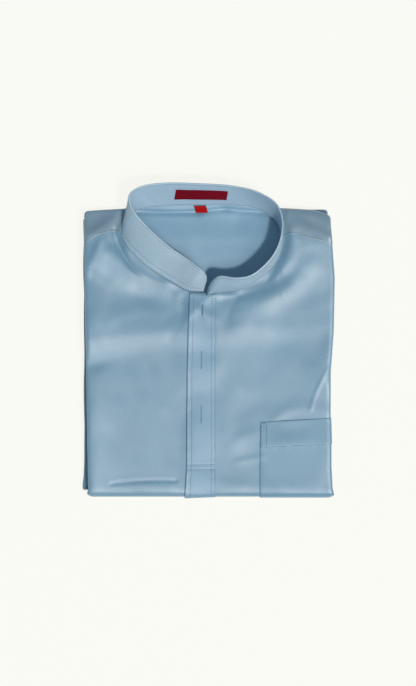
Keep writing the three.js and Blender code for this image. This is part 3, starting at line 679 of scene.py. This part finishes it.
def makeFront():
    # Columns run from the end of the bottom roll up to the front's upper edge, in even shares
    f = bodyForm
    a = acrossBody(front["step"])
    roll = linesBetween(f["bottom"] - f["bottomCloth"], f["bottom"], 1.2)[:-1]
    share = np.linspace(0, 1, 172)[:, None]
    upper = f["bottom"] + share * (frontTop(a)[None] - f["bottom"])
    b = np.concatenate([np.repeat(roll[:, None], len(a), 1), upper])
    a = np.broadcast_to(a, b.shape)
    top = bodyPlace(a, b, front["outer"])
    under = bodyPlace(a, b, front["under"])
    piece = clothBody("frontPanel", top, under, np.stack([a, b], axis=-1), bodySatin)
    return piece, surfaceArea(top)


frontPanel, frontArea = makeFront()
print("front panel made")

back = dict(
    under=0.55, outer=1.65, lap=1.4,                  # over the shoulders
    middle=(-6.0, 97.0), level=11.4, reach=9.0,       # inside the neck: middle, depth, reach under the front
    edgeLevel=16.6, edgeReach=0.3,                    # the same at the back of the neck
    spokes=190, rings=44,
)
# Folds inside the neck, the first three under the back's seam
insideFolds = [
    [-74, 135.4, -10, 135.3, -0.6, 1.8, 3.4, -1.7],
    [-10, 135.1, 18, 138.4, 0, 1.8, 3.4, -1.2],
    [18, 138.2, 58, 134.5, 0, 1.8, 3.4, -1.3],
    [-30, 128, -20, 96, 2, 9, 9, 0.35],
    [30, 128, 40, 100, -2, 8, 10, -0.4],
    [-10, 86, 40, 92, 2, 8, 8, 0.3],
]
shoulderLift = (back["outer"] - back["under"]) * 0.2


def makeShoulders():
    # Columns run from the shoulder seams over the top roll; the lap at the seam is a rounded step
    f = bodyForm
    a = acrossBody(1.6)
    start = shoulderBottom(a)
    start = start - back["lap"] * softStep((f["top"] - 3 - start) / 6)
    end = f["top"] + f["sideCloth"]
    share = np.concatenate([[0, 0.006, 0.014, 0.026], np.linspace(0.045, 1, 34)])[:, None]
    b = start[None] + share * (end - start)[None]
    a = np.broadcast_to(a, b.shape)
    fromEdge = b - start[None]
    low = softStep((fromEdge - 4) / 14)
    lift = shoulderLift * (0.35 + 0.65 * edgeRound(fromEdge, 1.0)) + back["under"] + 0.9 - low * 0.15
    top = bodyPlace(a, b, lift)
    under = bodyPlace(a, b, np.where(low > 0.5, 0.6, 1.42))
    return top, under, np.stack([a, b], axis=-1)


def seamReach(angle):
    # Distance from the hollow's middle to the neck seam in each direction
    away = denseSeam[:, :2] - np.array(back["middle"])
    bearing = np.unwrap(np.arctan2(away[:, 1], away[:, 0]))
    far = np.linalg.norm(away, axis=1)
    order = np.argsort(bearing)
    turn = np.mod(angle - bearing[order][0], 2 * math.pi) + bearing[order][0]
    return np.interp(turn, np.append(bearing[order], bearing[order][0] + 2 * math.pi),
                     np.append(far[order], far[order][0]))


def hollowPlace(angle, share, drop):
    # The back inside the neck: from the middle out, height climbs with share^3.5 to the front's underside,
    # and towards the back of the neck to the band's seam
    toBack = (np.clip((np.sin(angle) - 0.5) / 0.2, 0, 1) * np.clip((0.95 - np.abs(np.cos(angle))) / 0.15, 0, 1))
    reach = seamReach(angle) + back["reach"] + toBack * (back["edgeReach"] - back["reach"])
    x = back["middle"][0] + np.cos(angle) * reach * share
    y = back["middle"][1] + np.sin(angle) * reach * share
    edge = (bodyForm["level"] - 1.2) * (1 - toBack) + back["edgeLevel"] * toBack
    z = (back["level"] + (edge - back["level"]) * share**3.5) * thinned(y)
    wave = foldHeight(x, y, insideFolds) * (1 - share**14)
    return np.stack([x, y, z + wave - drop], axis=-1)


def makeHollow(start):
    # Rings round the middle, with a hub above and one below; start is the index of the first point
    spokes, rings = back["spokes"], back["rings"]
    angle = np.linspace(0, 2 * math.pi, spokes, endpoint=False)[None]
    share = np.linspace(0.02, 1, rings)[:, None]
    top, under = hollowPlace(angle, share, 0.0), hollowPlace(angle, share, 0.8)
    hubs = [hollowPlace(np.zeros(1), np.zeros(1), drop) for drop in (0.0, 0.8)]
    points = np.concatenate([top.reshape(-1, 3), under.reshape(-1, 3), *hubs])
    count = rings * spokes
    upper = ringQuads(rings, spokes)[:, [0, 3, 2, 1]]
    rim = ringQuads(2, spokes)[:, :2] + count - spokes
    edge = np.stack([rim[:, 1], rim[:, 0], rim[:, 0] + count, rim[:, 1] + count], 1)
    quads = np.concatenate([upper, upper[:, ::-1] + count, edge, hubFans(2 * count, spokes, count)])
    return points, quads + start, surfaceArea(top)


def makeBack():
    # The shoulder strips and the hollow as one piece; the hollow shows the cloth's inside
    top, under, uv = makeShoulders()
    flat = uv.reshape(-1, 2)
    points = np.concatenate([top.reshape(-1, 3), under.reshape(-1, 3)])
    quads = closedQuads(*top.shape[:2])
    hollowPoints, hollowQuads, hollowArea = makeHollow(len(points))
    piece = makeMesh("backPanel", np.concatenate([points, hollowPoints]), np.concatenate([quads, hollowQuads]),
                     np.concatenate([flat, flat, hollowPoints[:, :2]]), yokeSatinPaintedShade)
    secondMaterial(piece, insideSatin, np.arange(len(piece.data.polygons)) >= len(quads))
    return piece, surfaceArea(top) + hollowArea


backPanel, backArea = makeBack()
print("back panel made")


def endHeight(share):
    # Share of the band's height near its ends, where the free corners are rounded
    left, right = np.array(band["leftEnd"]), np.array(band["rightEnd"])
    run = np.interp(share, denseShares, seamRun)
    return np.interp(run, left[:, 0], left[:, 1]) * np.interp(seamLength - run, right[:, 0], right[:, 1])


def bandMiddle(share, level):
    # Straight from the seam to the free edge: seam + (free - seam) level, cut down near the ends
    seam, free = smoothLine(seamRows, share), smoothLine(freeRows, share)
    return seam + (free - seam) * (level * endHeight(share))[..., None]


def bandPlace(share, level, lift):
    # A place on the band: between seam and free edge, then lift along the outward normal
    share, level, lift = np.broadcast_arrays(np.asarray(share, float), np.asarray(level, float),
                                             np.asarray(lift, float))
    ahead = bandMiddle(np.clip(share + 0.003, 0, 1), level) - bandMiddle(np.clip(share - 0.003, 0, 1), level)
    rise = smoothLine(freeRows, share) - smoothLine(seamRows, share)
    outward = -unit(np.cross(ahead, rise))
    run = share * seamLength
    bulge = 0.5 + band["bulge"] * softStep((run - band["bulgeFrom"]) / 50)
    wave = (0.32 * np.sin(run / 13.0 + 2.2 * level) + bulge) * np.sin(level * math.pi)
    crease = foldHeight(run, level * band["height"], bandFolds)
    return bandMiddle(share, level) + outward * (lift + wave * softStep(run / 20) + crease)[..., None]


def makeBand():
    # Closed section: up the outside, over the free edge, down the inside, with grooves where it is stitched
    t = band["thickness"] / 2
    level = np.concatenate([[0, 0.012, 0.03], np.linspace(0.055, 0.945, band["across"] * 2), [0.97, 0.988, 1.0]])
    fromFree, fromSeam = (1 - level) * band["height"], level * band["height"]
    rounded = edgeRound(fromFree, 1.1, 0.02) * (0.55 + 0.45 * edgeRound(fromSeam, 0.9))
    groove = bell(fromFree, band["edgeStitch"], 0.7) + bell(fromSeam, band["secondStitch"], 0.7)
    half = (t - 0.06 * groove) * rounded
    share = np.interp(np.concatenate([[0, 0.35, 0.9], np.linspace(1.8, seamLength - 1.8, band["stations"]),
                                      seamLength - np.array([0.9, 0.35, 0])]), seamRun, denseShares)
    run = np.interp(share, denseShares, seamRun)
    ends = edgeRound(np.minimum(run, seamLength - run), 1.1, 0.02)[:, None]
    levels = np.concatenate([level, level[::-1]])[None]
    points = bandPlace(share[:, None], levels, np.concatenate([half, -half[::-1]])[None] * ends)
    rows, columns = points.shape[:2]
    j = np.arange(len(level) - 1)
    cap = np.stack([j, columns - 1 - j, columns - 2 - j, j + 1], 1)
    quads = np.concatenate([ringQuads(rows, columns), cap, cap[:, ::-1] + (rows - 1) * columns])
    uv = np.stack(np.broadcast_arrays(run[:, None], levels * band["height"]), axis=-1)
    piece = makeMesh("neckBand", points.reshape(-1, 3), quads, uv.reshape(-1, 2), bandSatinPaintedLight)
    inner = np.zeros((rows - 1, columns), np.int32)
    inner[:, len(level):-1] = 1
    secondMaterial(piece, bandLiningPaintedLight, inner.ravel())
    return piece


neckBand = makeBand()


def bandStitch(end, height, side):
    # A row of stitches along the band at one height, from end to end less a margin, outside or inside
    share = np.interp(np.arange(end, seamLength - end, 1.5), seamRun, denseShares)
    levels = np.broadcast_to(height / band["height"], share.shape)
    lift = side * (band["thickness"] / 2 - 0.04)
    path = bandPlace(share, levels, lift)
    return stitchRun(path, bandPlace(share, levels, lift + side) - path)


bandStitches = joinRuns("bandStitches", [bandStitch(*row) for row in (
    (4, band["height"] - band["edgeStitch"], 1), (4, band["height"] - band["edgeStitch"], -1),
    (2, band["seamStitch"], 1), (3, band["secondStitch"], 1), (2, band["seamStitch"], -1))], sewingThreadPaintedShade)
print("neck band made")

# lean: how far each end of the label's lower and upper edge lies to the right of an upright oblong
label = dict(width=53.5, low=0.27, high=0.71, thickness=0.55, left=-33.0, lean=((-1.9, 1.6), (-2.2, -1.9)),
             stitch=0.035)
sizeTab = dict(left=-15.2, seam=141.0, width=12.6, drop=6.2, thickness=0.55, lean=1.9)


def makeLabel():
    # An oblong on the band's inside, each end led along by its lean, with rounded edges and two rows of stitches
    startShare = np.interp(label["left"], *[v[300:900] for v in (denseSeam[:, 0], denseShares)])
    startRun = np.interp(startShare, denseShares, seamRun)
    run = startRun + linesBetween(0, label["width"], 1.2, (0.15, 0.4, 0.8))
    level = linesBetween(label["low"], label["high"], 0.04, (0.006, 0.015, 0.03))[:, None]
    across = ((run - run[0]) / label["width"])[None]
    up = (level - label["low"]) / (label["high"] - label["low"])
    (lowLeft, highLeft), (lowRight, highRight) = label["lean"]
    lean = (1 - across) * (lowLeft + up * (highLeft - lowLeft)) + across * (lowRight + up * (highRight - lowRight))
    share = np.interp(run[None] + lean, seamRun, denseShares)
    fromEdge = np.minimum(np.minimum(run - run[0], run[-1] - run)[None],
                          np.minimum(level - label["low"], label["high"] - level) * band["height"])
    rounded = edgeRound(fromEdge, 0.5, 0.05)
    inner = -(band["thickness"] / 2 + 0.12)
    top = bandPlace(share, level, inner - label["thickness"] * rounded)
    under = bandPlace(share, level, inner)
    uv = np.stack(np.broadcast_arrays(run[None], level * band["height"]), axis=-1)
    piece = clothBody("neckLabel", top, under, uv, labelRibbon)
    edge = inner - label["thickness"] - 0.05
    runs = []
    for row, at in ((0, label["low"] + label["stitch"]), (-1, label["high"] - label["stitch"])):
        path = bandPlace(share[row], at, edge)
        runs.append(stitchRun(path, bandPlace(share[row], at, edge - 1) - path, length=1.6, gap=0.7, radius=0.16))
    return piece, joinRuns("labelStitches", runs, labelRibbon)


neckLabel, labelStitches = makeLabel()


def makeSizeTab():
    # A strip folded in half: its section goes out from the seam, round a small fold and back underneath
    w, d, t = sizeTab["width"], sizeTab["drop"], sizeTab["thickness"]
    s = np.linspace(0, 1, 26)
    upper = np.stack([-d * s, 1.35 + 0.35 * np.sin(s * math.pi)], 1)
    turn = np.linspace(90, -90, 12)[1:-1] * math.pi / 180
    fold = np.stack([-d - 0.62 * np.cos(turn), 0.72 + 0.62 * np.sin(turn)], 1)
    lower = np.stack([-d * s[::-1], np.full_like(s, 0.1)], 1)
    section = np.concatenate([upper, fold, lower])
    x = linesBetween(0, w, 1.1, (0.15, 0.45))
    gridX, gridY = np.meshgrid(sizeTab["left"] + x, sizeTab["seam"] + section[:, 0])
    gridX = gridX + sizeTab["lean"] * (sizeTab["seam"] - gridY) / d
    reach = np.hypot(gridX - back["middle"][0], gridY - back["middle"][1])
    angle = np.arctan2(gridY - back["middle"][1], gridX - back["middle"][0])
    share = np.clip(reach / (seamReach(angle) + 0.6), 0, 1)
    base = hollowPlace(angle, share, 0.0)[..., 2]
    middle = np.stack([gridX, gridY, base + section[:, 1:] + 0.25], axis=-1)
    slope = np.gradient(section, axis=0)
    normal = unit(np.stack([np.zeros(len(slope)), slope[:, 1], -slope[:, 0]], 1))
    outer = middle + normal[:, None] * t * 0.5
    inner = middle - normal[:, None] * t * 0.5
    uv = np.stack(np.broadcast_arrays(x[None], np.arange(len(section))[:, None] * 0.4), axis=-1)
    return clothBody("sizeTab", inner, outer, uv, tabRibbon)


tabPiece = makeSizeTab()
print("label and tab made")

placket = dict(left=-22.0, right=7.5, under=1.45, thickness=1.75, thin=0.45, overhang=0.55,
               stitchLines=(1.1, 5.0, 25.3, 28.6), boxTop=-130.9, boxBottom=-136.0, end=0.92)
buttonholes = dict(centre=-7.2, ends=((38.0, 25.5), (-13.0, -29.5), (-69.5, -86.0)),
                   open=(0.55, 0.16, 0.16), reach=(0.22, 0.5, 0.85), bar=1.0)


def placketTop(a):
    # The neck seam above the strip, a little outside the band
    neck = neckLine(1.5)
    return edgeAt(a, neck[(neck[:, 1] < 62) & (np.abs(neck[:, 0] + 7) < 26)])


def placketThickness(a):
    # Full at the left edge, falling evenly to thin at the right one
    p = placket
    return p["thickness"] + (p["thin"] - p["thickness"]) * np.clip((a - p["left"]) / (p["right"] - p["left"]), 0, 1)


def makePlacket():
    # Thickness: placketThickness with rounded edges, less grooves under the stitches and less the slits
    f = bodyForm
    p = placket
    fine = [buttonholes["centre"] + d for d in (-1.4, -0.9, -0.5, -0.22, 0.0, 0.22, 0.5, 0.9, 1.4)]
    a = linesBetween(p["left"], p["right"], 1.2, (0.15, 0.45, 0.9))
    a = np.unique(np.round(np.concatenate([a[(a < fine[0] - 0.4) | (a > fine[-1] + 0.4)], fine]), 4))
    roll = linesBetween(f["bottom"] - f["bottomCloth"] * p["end"], f["bottom"], 1.3, (0.2, 0.5))[:-1]
    share = linesBetween(0, 1, 1 / 150.0, (0.001, 0.003))[:, None]
    b = np.concatenate([np.repeat(roll[:, None], len(a), 1),
                        f["bottom"] + share * (placketTop(a)[None] - f["bottom"])])
    a = np.broadcast_to(a, b.shape)
    fromEdge = np.minimum(np.minimum(a - p["left"], p["right"] - a), placketTop(a[0])[None] - b)
    rounded = 0.12 + 0.88 * edgeRound(fromEdge, 0.8)
    groove = sum(bell(a, p["left"] + line, 0.55) for line in p["stitchLines"])
    groove = groove + 4.0 * (bell(b, p["boxTop"], 0.8) + bell(b, p["boxBottom"], 0.8))
    pucker = 0.05 * np.sin(b / 1.9 + 0.5 * np.sin(b / 7.0)) * bell(fromEdge, 2.5, 2.2)
    slit = np.zeros_like(a)
    for (high, low), width in zip(buttonholes["ends"], buttonholes["open"]):
        inside = softStep((high - b) / 1.5) * softStep((b - low) / 1.5)
        slit = slit + inside * np.exp(-((a - buttonholes["centre"]) / width) ** 4)
    overhang = p["overhang"] * bell(a, p["left"], 1.4) * softStep((placketTop(a[0])[None] - b) / 8)
    body = placketThickness(a) * rounded - 0.06 * np.clip(groove, 0, 4) + pucker
    top = bodyPlace(a, b, p["under"] + np.maximum(0.1, body - 1.1 * slit) + overhang * 0.5)
    under = bodyPlace(a, b, p["under"] + overhang)
    return clothBody("placketStrip", top, under, np.stack([a, b], axis=-1), placketSatin)


placketStrip = makePlacket()


def makePlacketStitches():
    # Upright rows, two rows across the box at the opening's end, and one along the neck
    f = bodyForm
    p = placket
    runs = []
    for line in p["stitchLines"]:
        a = p["left"] + line
        high = float(placketTop(np.array([a]))[0]) - 1.6
        b = np.arange(f["bottom"] - f["bottomCloth"] * 0.6, high, 1.2)
        lift = p["under"] + float(placketThickness(a)) - 0.02
        runs.append(bodyStitch(np.full_like(b, a), b, lift))
    a = np.arange(p["left"] + 0.9, p["right"] - 0.6, 1.0)
    lift = p["under"] + placketThickness(a) - 0.02
    for b in (p["boxTop"], p["boxBottom"]):
        runs.append(bodyStitch(a, np.full_like(a, b), lift - 0.18))
    runs.append(bodyStitch(a, placketTop(a) - 1.9, lift))
    return joinRuns("placketStitches", runs, sewingThreadPaintedShade)


placketStitches = makePlacketStitches()


def makeButtonholes():
    # Close threads across both lips of each slit, and a bar of threads over each end
    lift = placket["under"] + float(placketThickness(buttonholes["centre"])) + 0.04
    runs = []
    for high, low in buttonholes["ends"]:
        b = np.arange(low + 0.6, high - 0.5, 0.46)
        for side in (-1, 1):
            for at in b:
                a = buttonholes["centre"] + side * np.array(buttonholes["reach"])
                runs.append(bodyStitch(a, np.full(3, at), lift, length=0.55, gap=0.2, radius=0.17, skip=0.02))
        for end in (low, high):
            for step in np.arange(-2, 3) * 0.42:
                a = buttonholes["centre"] + np.array([-1.0, -0.4, 0.4, 1.0]) * buttonholes["bar"]
                runs.append(bodyStitch(a, np.full(4, end + step), lift + 0.05, length=1.9, gap=0.3, radius=0.2,
                                       skip=0.02))
    return joinRuns("buttonholeThreads", runs, holeThread)


buttonholeThreads = makeButtonholes()
print("placket made")

pocket = dict(left=54.5, top=-86.0, hem=-113.0, under=1.45, thickness=0.95, hemExtra=0.55, hemFall=0.9,
              tack=6.8, edge=1.3, end=0.9)


def makePocket():
    # Thickness: cloth and hem with rounded edges, less grooves under the stitches; the top edge gapes a little
    f = bodyForm
    p = pocket
    a = np.concatenate([linesBetween(p["left"], f["halfWidth"], 1.5, (0.15, 0.45, 0.9))[:-1],
                        linesBetween(f["halfWidth"], f["halfWidth"] + f["sideCloth"] * p["end"], 1.0)])
    b = np.concatenate([linesBetween(f["bottom"] - f["bottomCloth"] * p["end"], f["bottom"], 1.2)[:-1],
                        linesBetween(f["bottom"], p["hem"] - 2.2, 1.5)[:-1],
                        linesBetween(p["hem"] - 2.2, p["hem"] + 2.2, 0.45)[:-1],
                        linesBetween(p["hem"] + 2.2, p["top"], 1.4, (0.15, 0.45, 0.9))])
    a, b = np.meshgrid(a, b)
    fromEdge = np.minimum(a - p["left"], p["top"] - b)
    rounded = 0.15 + 0.85 * edgeRound(fromEdge, 0.9)
    hem = softStep((b - p["hem"] + 0.6) / 1.2)
    groove = bell(b, p["hem"], 0.7) + bell(a, p["left"] + p["edge"], 0.6)
    pucker = 0.04 * np.sin(a / 2.1 + 0.6 * np.sin(a / 9)) * bell(b, p["hem"] - 2.0, 2.4)
    gape = 0.5 * bell(b, p["top"], 7.0) * softStep((a - p["left"] - 8) / 20) * softStep((120 - a) / 30)
    lift = p["under"] + (p["thickness"] + p["hemExtra"] * hem) * rounded - 0.08 * np.clip(groove, 0, 1)
    lift = lift + pucker - p["hemFall"] * np.clip((b - p["hem"]) / (p["top"] - p["hem"]), 0, 1) * rounded
    top = bodyPlace(a, b, lift + gape)
    under = bodyPlace(a, b, p["under"] + gape * 0.9)
    return clothBody("patchPocket", top, under, np.stack([a, b], axis=-1), pocketSatin)


patchPocket = makePocket()


def makePocketStitches():
    # Rows up the left edge and the tack, along the hem, and a short one at the upper corner
    f = bodyForm
    p = pocket
    lift = p["under"] + p["thickness"] - 0.1
    high = lift + p["hemExtra"]
    b = np.arange(f["bottom"] - f["bottomCloth"] * 0.6, p["hem"], 1.2)
    runs = [bodyStitch(np.full_like(b, p["left"] + p["edge"]), b, lift)]
    b = np.arange(p["hem"], p["top"] - 0.8, 1.2)
    runs.append(bodyStitch(np.full_like(b, p["left"] + p["edge"]), b, high))
    runs.append(bodyStitch(np.full_like(b, p["left"] + p["tack"]), b, high))
    a = np.arange(p["left"] + 1.2, f["halfWidth"] + f["sideCloth"] * 0.5, 1.2)
    runs.append(bodyStitch(a, np.full_like(a, p["hem"]), lift + p["hemExtra"] * 0.5))
    a = np.arange(p["left"] + 1.2, p["left"] + p["tack"] + 0.5, 0.6)
    runs.append(bodyStitch(a, np.full_like(a, p["top"] - 1.3), high))
    return joinRuns("pocketStitches", runs, sewingThreadPaintedShade)


pocketStitches = makePocketStitches()


def makeShoulderStitches():
    # One row just above each shoulder seam
    runs = []
    lift = back["under"] + 0.9 + shoulderLift - 0.02
    for fromA, toA in ((-130, -93), (78, 130)):
        a = np.arange(fromA, toA, 1.2)
        start = shoulderBottom(a) - back["lap"]
        runs.append(bodyStitch(a, start + 1.5, lift))
    return joinRuns("shoulderStitches", runs, sewingThreadPaintedShade)


shoulderStitches = makeShoulderStitches()
print("pocket and stitches made")

lower = dict(leftFall=9.0, corner=0.8, left=-131.7, right=126.6, top=138.0, round=4.0, level=8.75, seamGap=0.3)
# Edge of the folded lower half, from under the roll above it to the table: reach inwards, share of its height,
# and how far each line wavers
lowerRings = np.array([
    [30.0, 1.00, 0.0], [12.0, 1.00, 0.0], [6.0, 1.00, 0.2], [3.0, 0.995, 0.5], [1.6, 0.97, 0.7], [0.7, 0.92, 0.8],
    [0.25, 0.85, 0.9], [0.1, 0.77, 0.9], [0.35, 0.69, 0.9], [1.0, 0.62, 0.8], [1.9, 0.575, 0.7],
    [3.2, 0.555, 0.5], [3.2, 0.535, 0.5], [1.7, 0.515, 0.7], [0.9, 0.485, 0.8], [0.55, 0.455, 0.9],
    [0.8, 0.425, 0.8], [1.6, 0.40, 0.7], [2.4, 0.385, 0.5], [1.5, 0.365, 0.7], [0.6, 0.32, 0.9],
    [0.1, 0.25, 1.0], [0.0, 0.17, 1.0], [0.3, 0.09, 0.9], [0.9, 0.03, 0.8], [1.8, 0.0, 0.6], [12.0, 0.0, 0.0],
    [60.0, 0.0, 0.0],
])


def makeLower():
    # Rings round a rectangle with rounded corners; each ring has its own reach and height, and wavers a little
    f, e = bodyForm, lower
    side = np.linspace(0, 1, 72, endpoint=False)
    corner = np.linspace(0, 1, 10, endpoint=False)
    x0, x1 = e["left"] + e["round"], e["right"] - e["round"]
    y0, y1 = f["bottom"], e["top"] - e["round"]
    corners = np.array([(x0, y0), (x1, y0), (x1, y1), (x0, y1), (x0, y0)])
    core, bearing = [], []
    for quarter, (start, end) in enumerate(zip(corners[:-1], corners[1:])):
        core += [start + (end - start) * side[:, None], end + 0 * corner[:, None]]
        bearing += [quarter * 90 - 90 + 0 * side, quarter * 90 - 90 + 90 * corner]
    coreX, coreY = np.concatenate(core).T
    bearing = np.radians(np.concatenate(bearing))
    headX, headY = np.cos(bearing), np.sin(bearing)
    bottomShare = softStep(np.arctan2(np.maximum(0, -headY), np.abs(headX)) / (math.pi / 2))
    roll = f["sideRoll"] + bottomShare * (f["bottomRoll"] - f["sideRoll"])
    turn = np.radians(f["sideTurn"] + bottomShare * (f["bottomTurn"] - f["sideTurn"]))
    lowest = f["level"] - roll + (roll + 1.4) * np.cos(turn) - e["seamGap"]
    level = e["level"] + bottomShare * (lowest - e["level"])
    around = np.arange(len(coreX)) / len(coreX) * 2 * math.pi
    rings = []
    for k, (reach, height, waver) in enumerate(lowerRings):
        wave = 0.45 * np.sin(around * 5 + k * 0.35) + 0.35 * np.sin(around * 13 + 1.7 + k * 0.2)
        fold = 1 if height > 0.55 else 0
        wave = wave + 0.5 * np.sin(around * 8 + 2.4 * fold) - 0.6
        out = (e["round"] - reach + waver * wave) * (1 - bottomShare) + (2.2 - reach * 0.4) * bottomShare
        x, y = coreX + out * headX, coreY + out * headY
        y = y - e["leftFall"] * np.clip((-60 - x) / 70, 0, 1) ** 2 * np.clip((y - 60) / 80, 0, 1)
        x = x - e["corner"] * bell(y, -153, 6.0) * np.clip((-x - 100) / 20, 0, 1) * (waver > 0)
        sag = 0.25 * np.sin(around * 9 + 0.7) * waver * (height > 0.3)
        z = (level * height + sag * (1 - bottomShare)) * thinned(y)
        rings.append(np.stack([x, y, np.maximum(z, 0.0)], axis=-1))
    points = np.stack(rings)
    count, around = points.shape[:2]
    flat = points.reshape(-1, 3)
    hubs = np.array([[-2.0, -10.0, e["level"]], [-2.0, -10.0, 0.0]])
    quads = np.concatenate([ringQuads(count, around)[:, [0, 3, 2, 1]],
                            hubFans(len(flat), around, (count - 1) * around)])
    down = np.concatenate([np.repeat(np.arange(count) * 1.3, around), [0, 40]])
    run = np.concatenate([np.tile(np.arange(around) * 3.4, count), [0, 0]])
    return makeMesh("foldedLayers", np.concatenate([flat, hubs]), quads, np.stack([run, down], 1), layerSatinPaintedShade)


foldedLayers = makeLower()
print("folded layers made")

standsFor = [
    (frontPanel, "front", "body_cloth"),
    (backPanel, "back", "body_cloth"),
    (neckBand, "collar", "band_cloth"),
    (placketStrip, "placket", "body_cloth"),
    (patchPocket, "pocket", "body_cloth"),
    (neckLabel, "label", "label_cloth"),
    (tabPiece, "size_tab", "tab_cloth"),
    (foldedLayers, "folded_layers", "hidden_cloth"),
]
for piece, node, slot in standsFor:
    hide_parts(node)
    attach(piece, "root")
for piece, slot in ((bandStitches, "band_cloth"), (placketStitches, "body_cloth"), (pocketStitches, "body_cloth"),
                    (shoulderStitches, "body_cloth"), (buttonholeThreads, "body_cloth"),
                    (labelStitches, "label_cloth")):
    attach(piece, "root")

camera = dict(
    middle=(-0.5, -3.2),      # place under the lens, mm
    height=3000.0,            # mm above the table
    perPixel=1.05,            # mm of shirt for each pixel of the picture
    pixels=(416, 686),
)
studio = dict(
    lamps=(                   # name, direction it stands in, distance, width (m), power (W)
        ("keyLamp", (0.31, -0.27, 0.91), 13.0, 1.20, 880.0),
        ("softBox", (0.30, -0.46, 0.83), 13.0, 6.00, 430.0),
    ),
    lampColor=(1.0, 0.98, 0.945),
    skyStrength=0.315,
    skyColor=(0.66, 0.92, 1.14),
    tableColor=(0.06, 0.06, 0.058),
    tableGlow=(0.886, 0.886, 0.836),
)


def makeStudio():
    # A pale glowing table, two far round lamps, weak air light, and a lens straight above the shirt
    s, c = studio, camera
    table = bpy.data.meshes.new("table")
    table.from_pydata([(-4, -4, -0.0003), (4, -4, -0.0003), (4, 4, -0.0003), (-4, 4, -0.0003)], [], [(0, 1, 2, 3)])
    material = bpy.data.materials.new("tablePaper")
    tree, shader = nodeTree(material)
    for key, value in (("Base Color", (*s["tableColor"], 1)), ("Roughness", 0.9),
                       ("Emission Color", (*s["tableGlow"], 1)), ("Emission Strength", 1.0)):
        shader.inputs[key].default_value = value
    table.materials.append(material)
    tableObject = bpy.data.objects.new("table", table)
    bpy.context.scene.collection.objects.link(tableObject)

    for name, away, distance, size, power in s["lamps"]:
        lamp = bpy.data.lights.new(name, "AREA")
        lamp.shape = "DISK"
        lamp.size = size
        lamp.energy = power
        lamp.color = s["lampColor"]
        lampObject = bpy.data.objects.new(name, lamp)
        direction = np.array(away) / np.linalg.norm(away)
        lampObject.location = direction * distance
        lampObject.rotation_euler = (math.acos(direction[2]), 0, math.atan2(direction[1], direction[0]) + math.pi / 2)
        bpy.context.scene.collection.objects.link(lampObject)

    world = bpy.data.worlds.new("studioAir")
    world.use_nodes = True
    background = world.node_tree.nodes["Background"]
    background.inputs["Color"].default_value = (*s["skyColor"], 1)
    background.inputs["Strength"].default_value = s["skyStrength"]
    bpy.context.scene.world = world

    lens = bpy.data.cameras.new("lens")
    lens.sensor_width = 36.0
    lens.sensor_fit = "AUTO"
    lens.lens = 36.0 * (c["height"] - 18.0) / (c["pixels"][1] * c["perPixel"])
    lens.clip_end = 20.0
    eye = bpy.data.objects.new("eye", lens)
    eye.location = (c["middle"][0] * mm, c["middle"][1] * mm, c["height"] * mm)
    bpy.context.scene.collection.objects.link(eye)
    bpy.context.scene.camera = eye
    bpy.context.scene.view_settings.view_transform = "Standard"


makeStudio()
print("studio made")
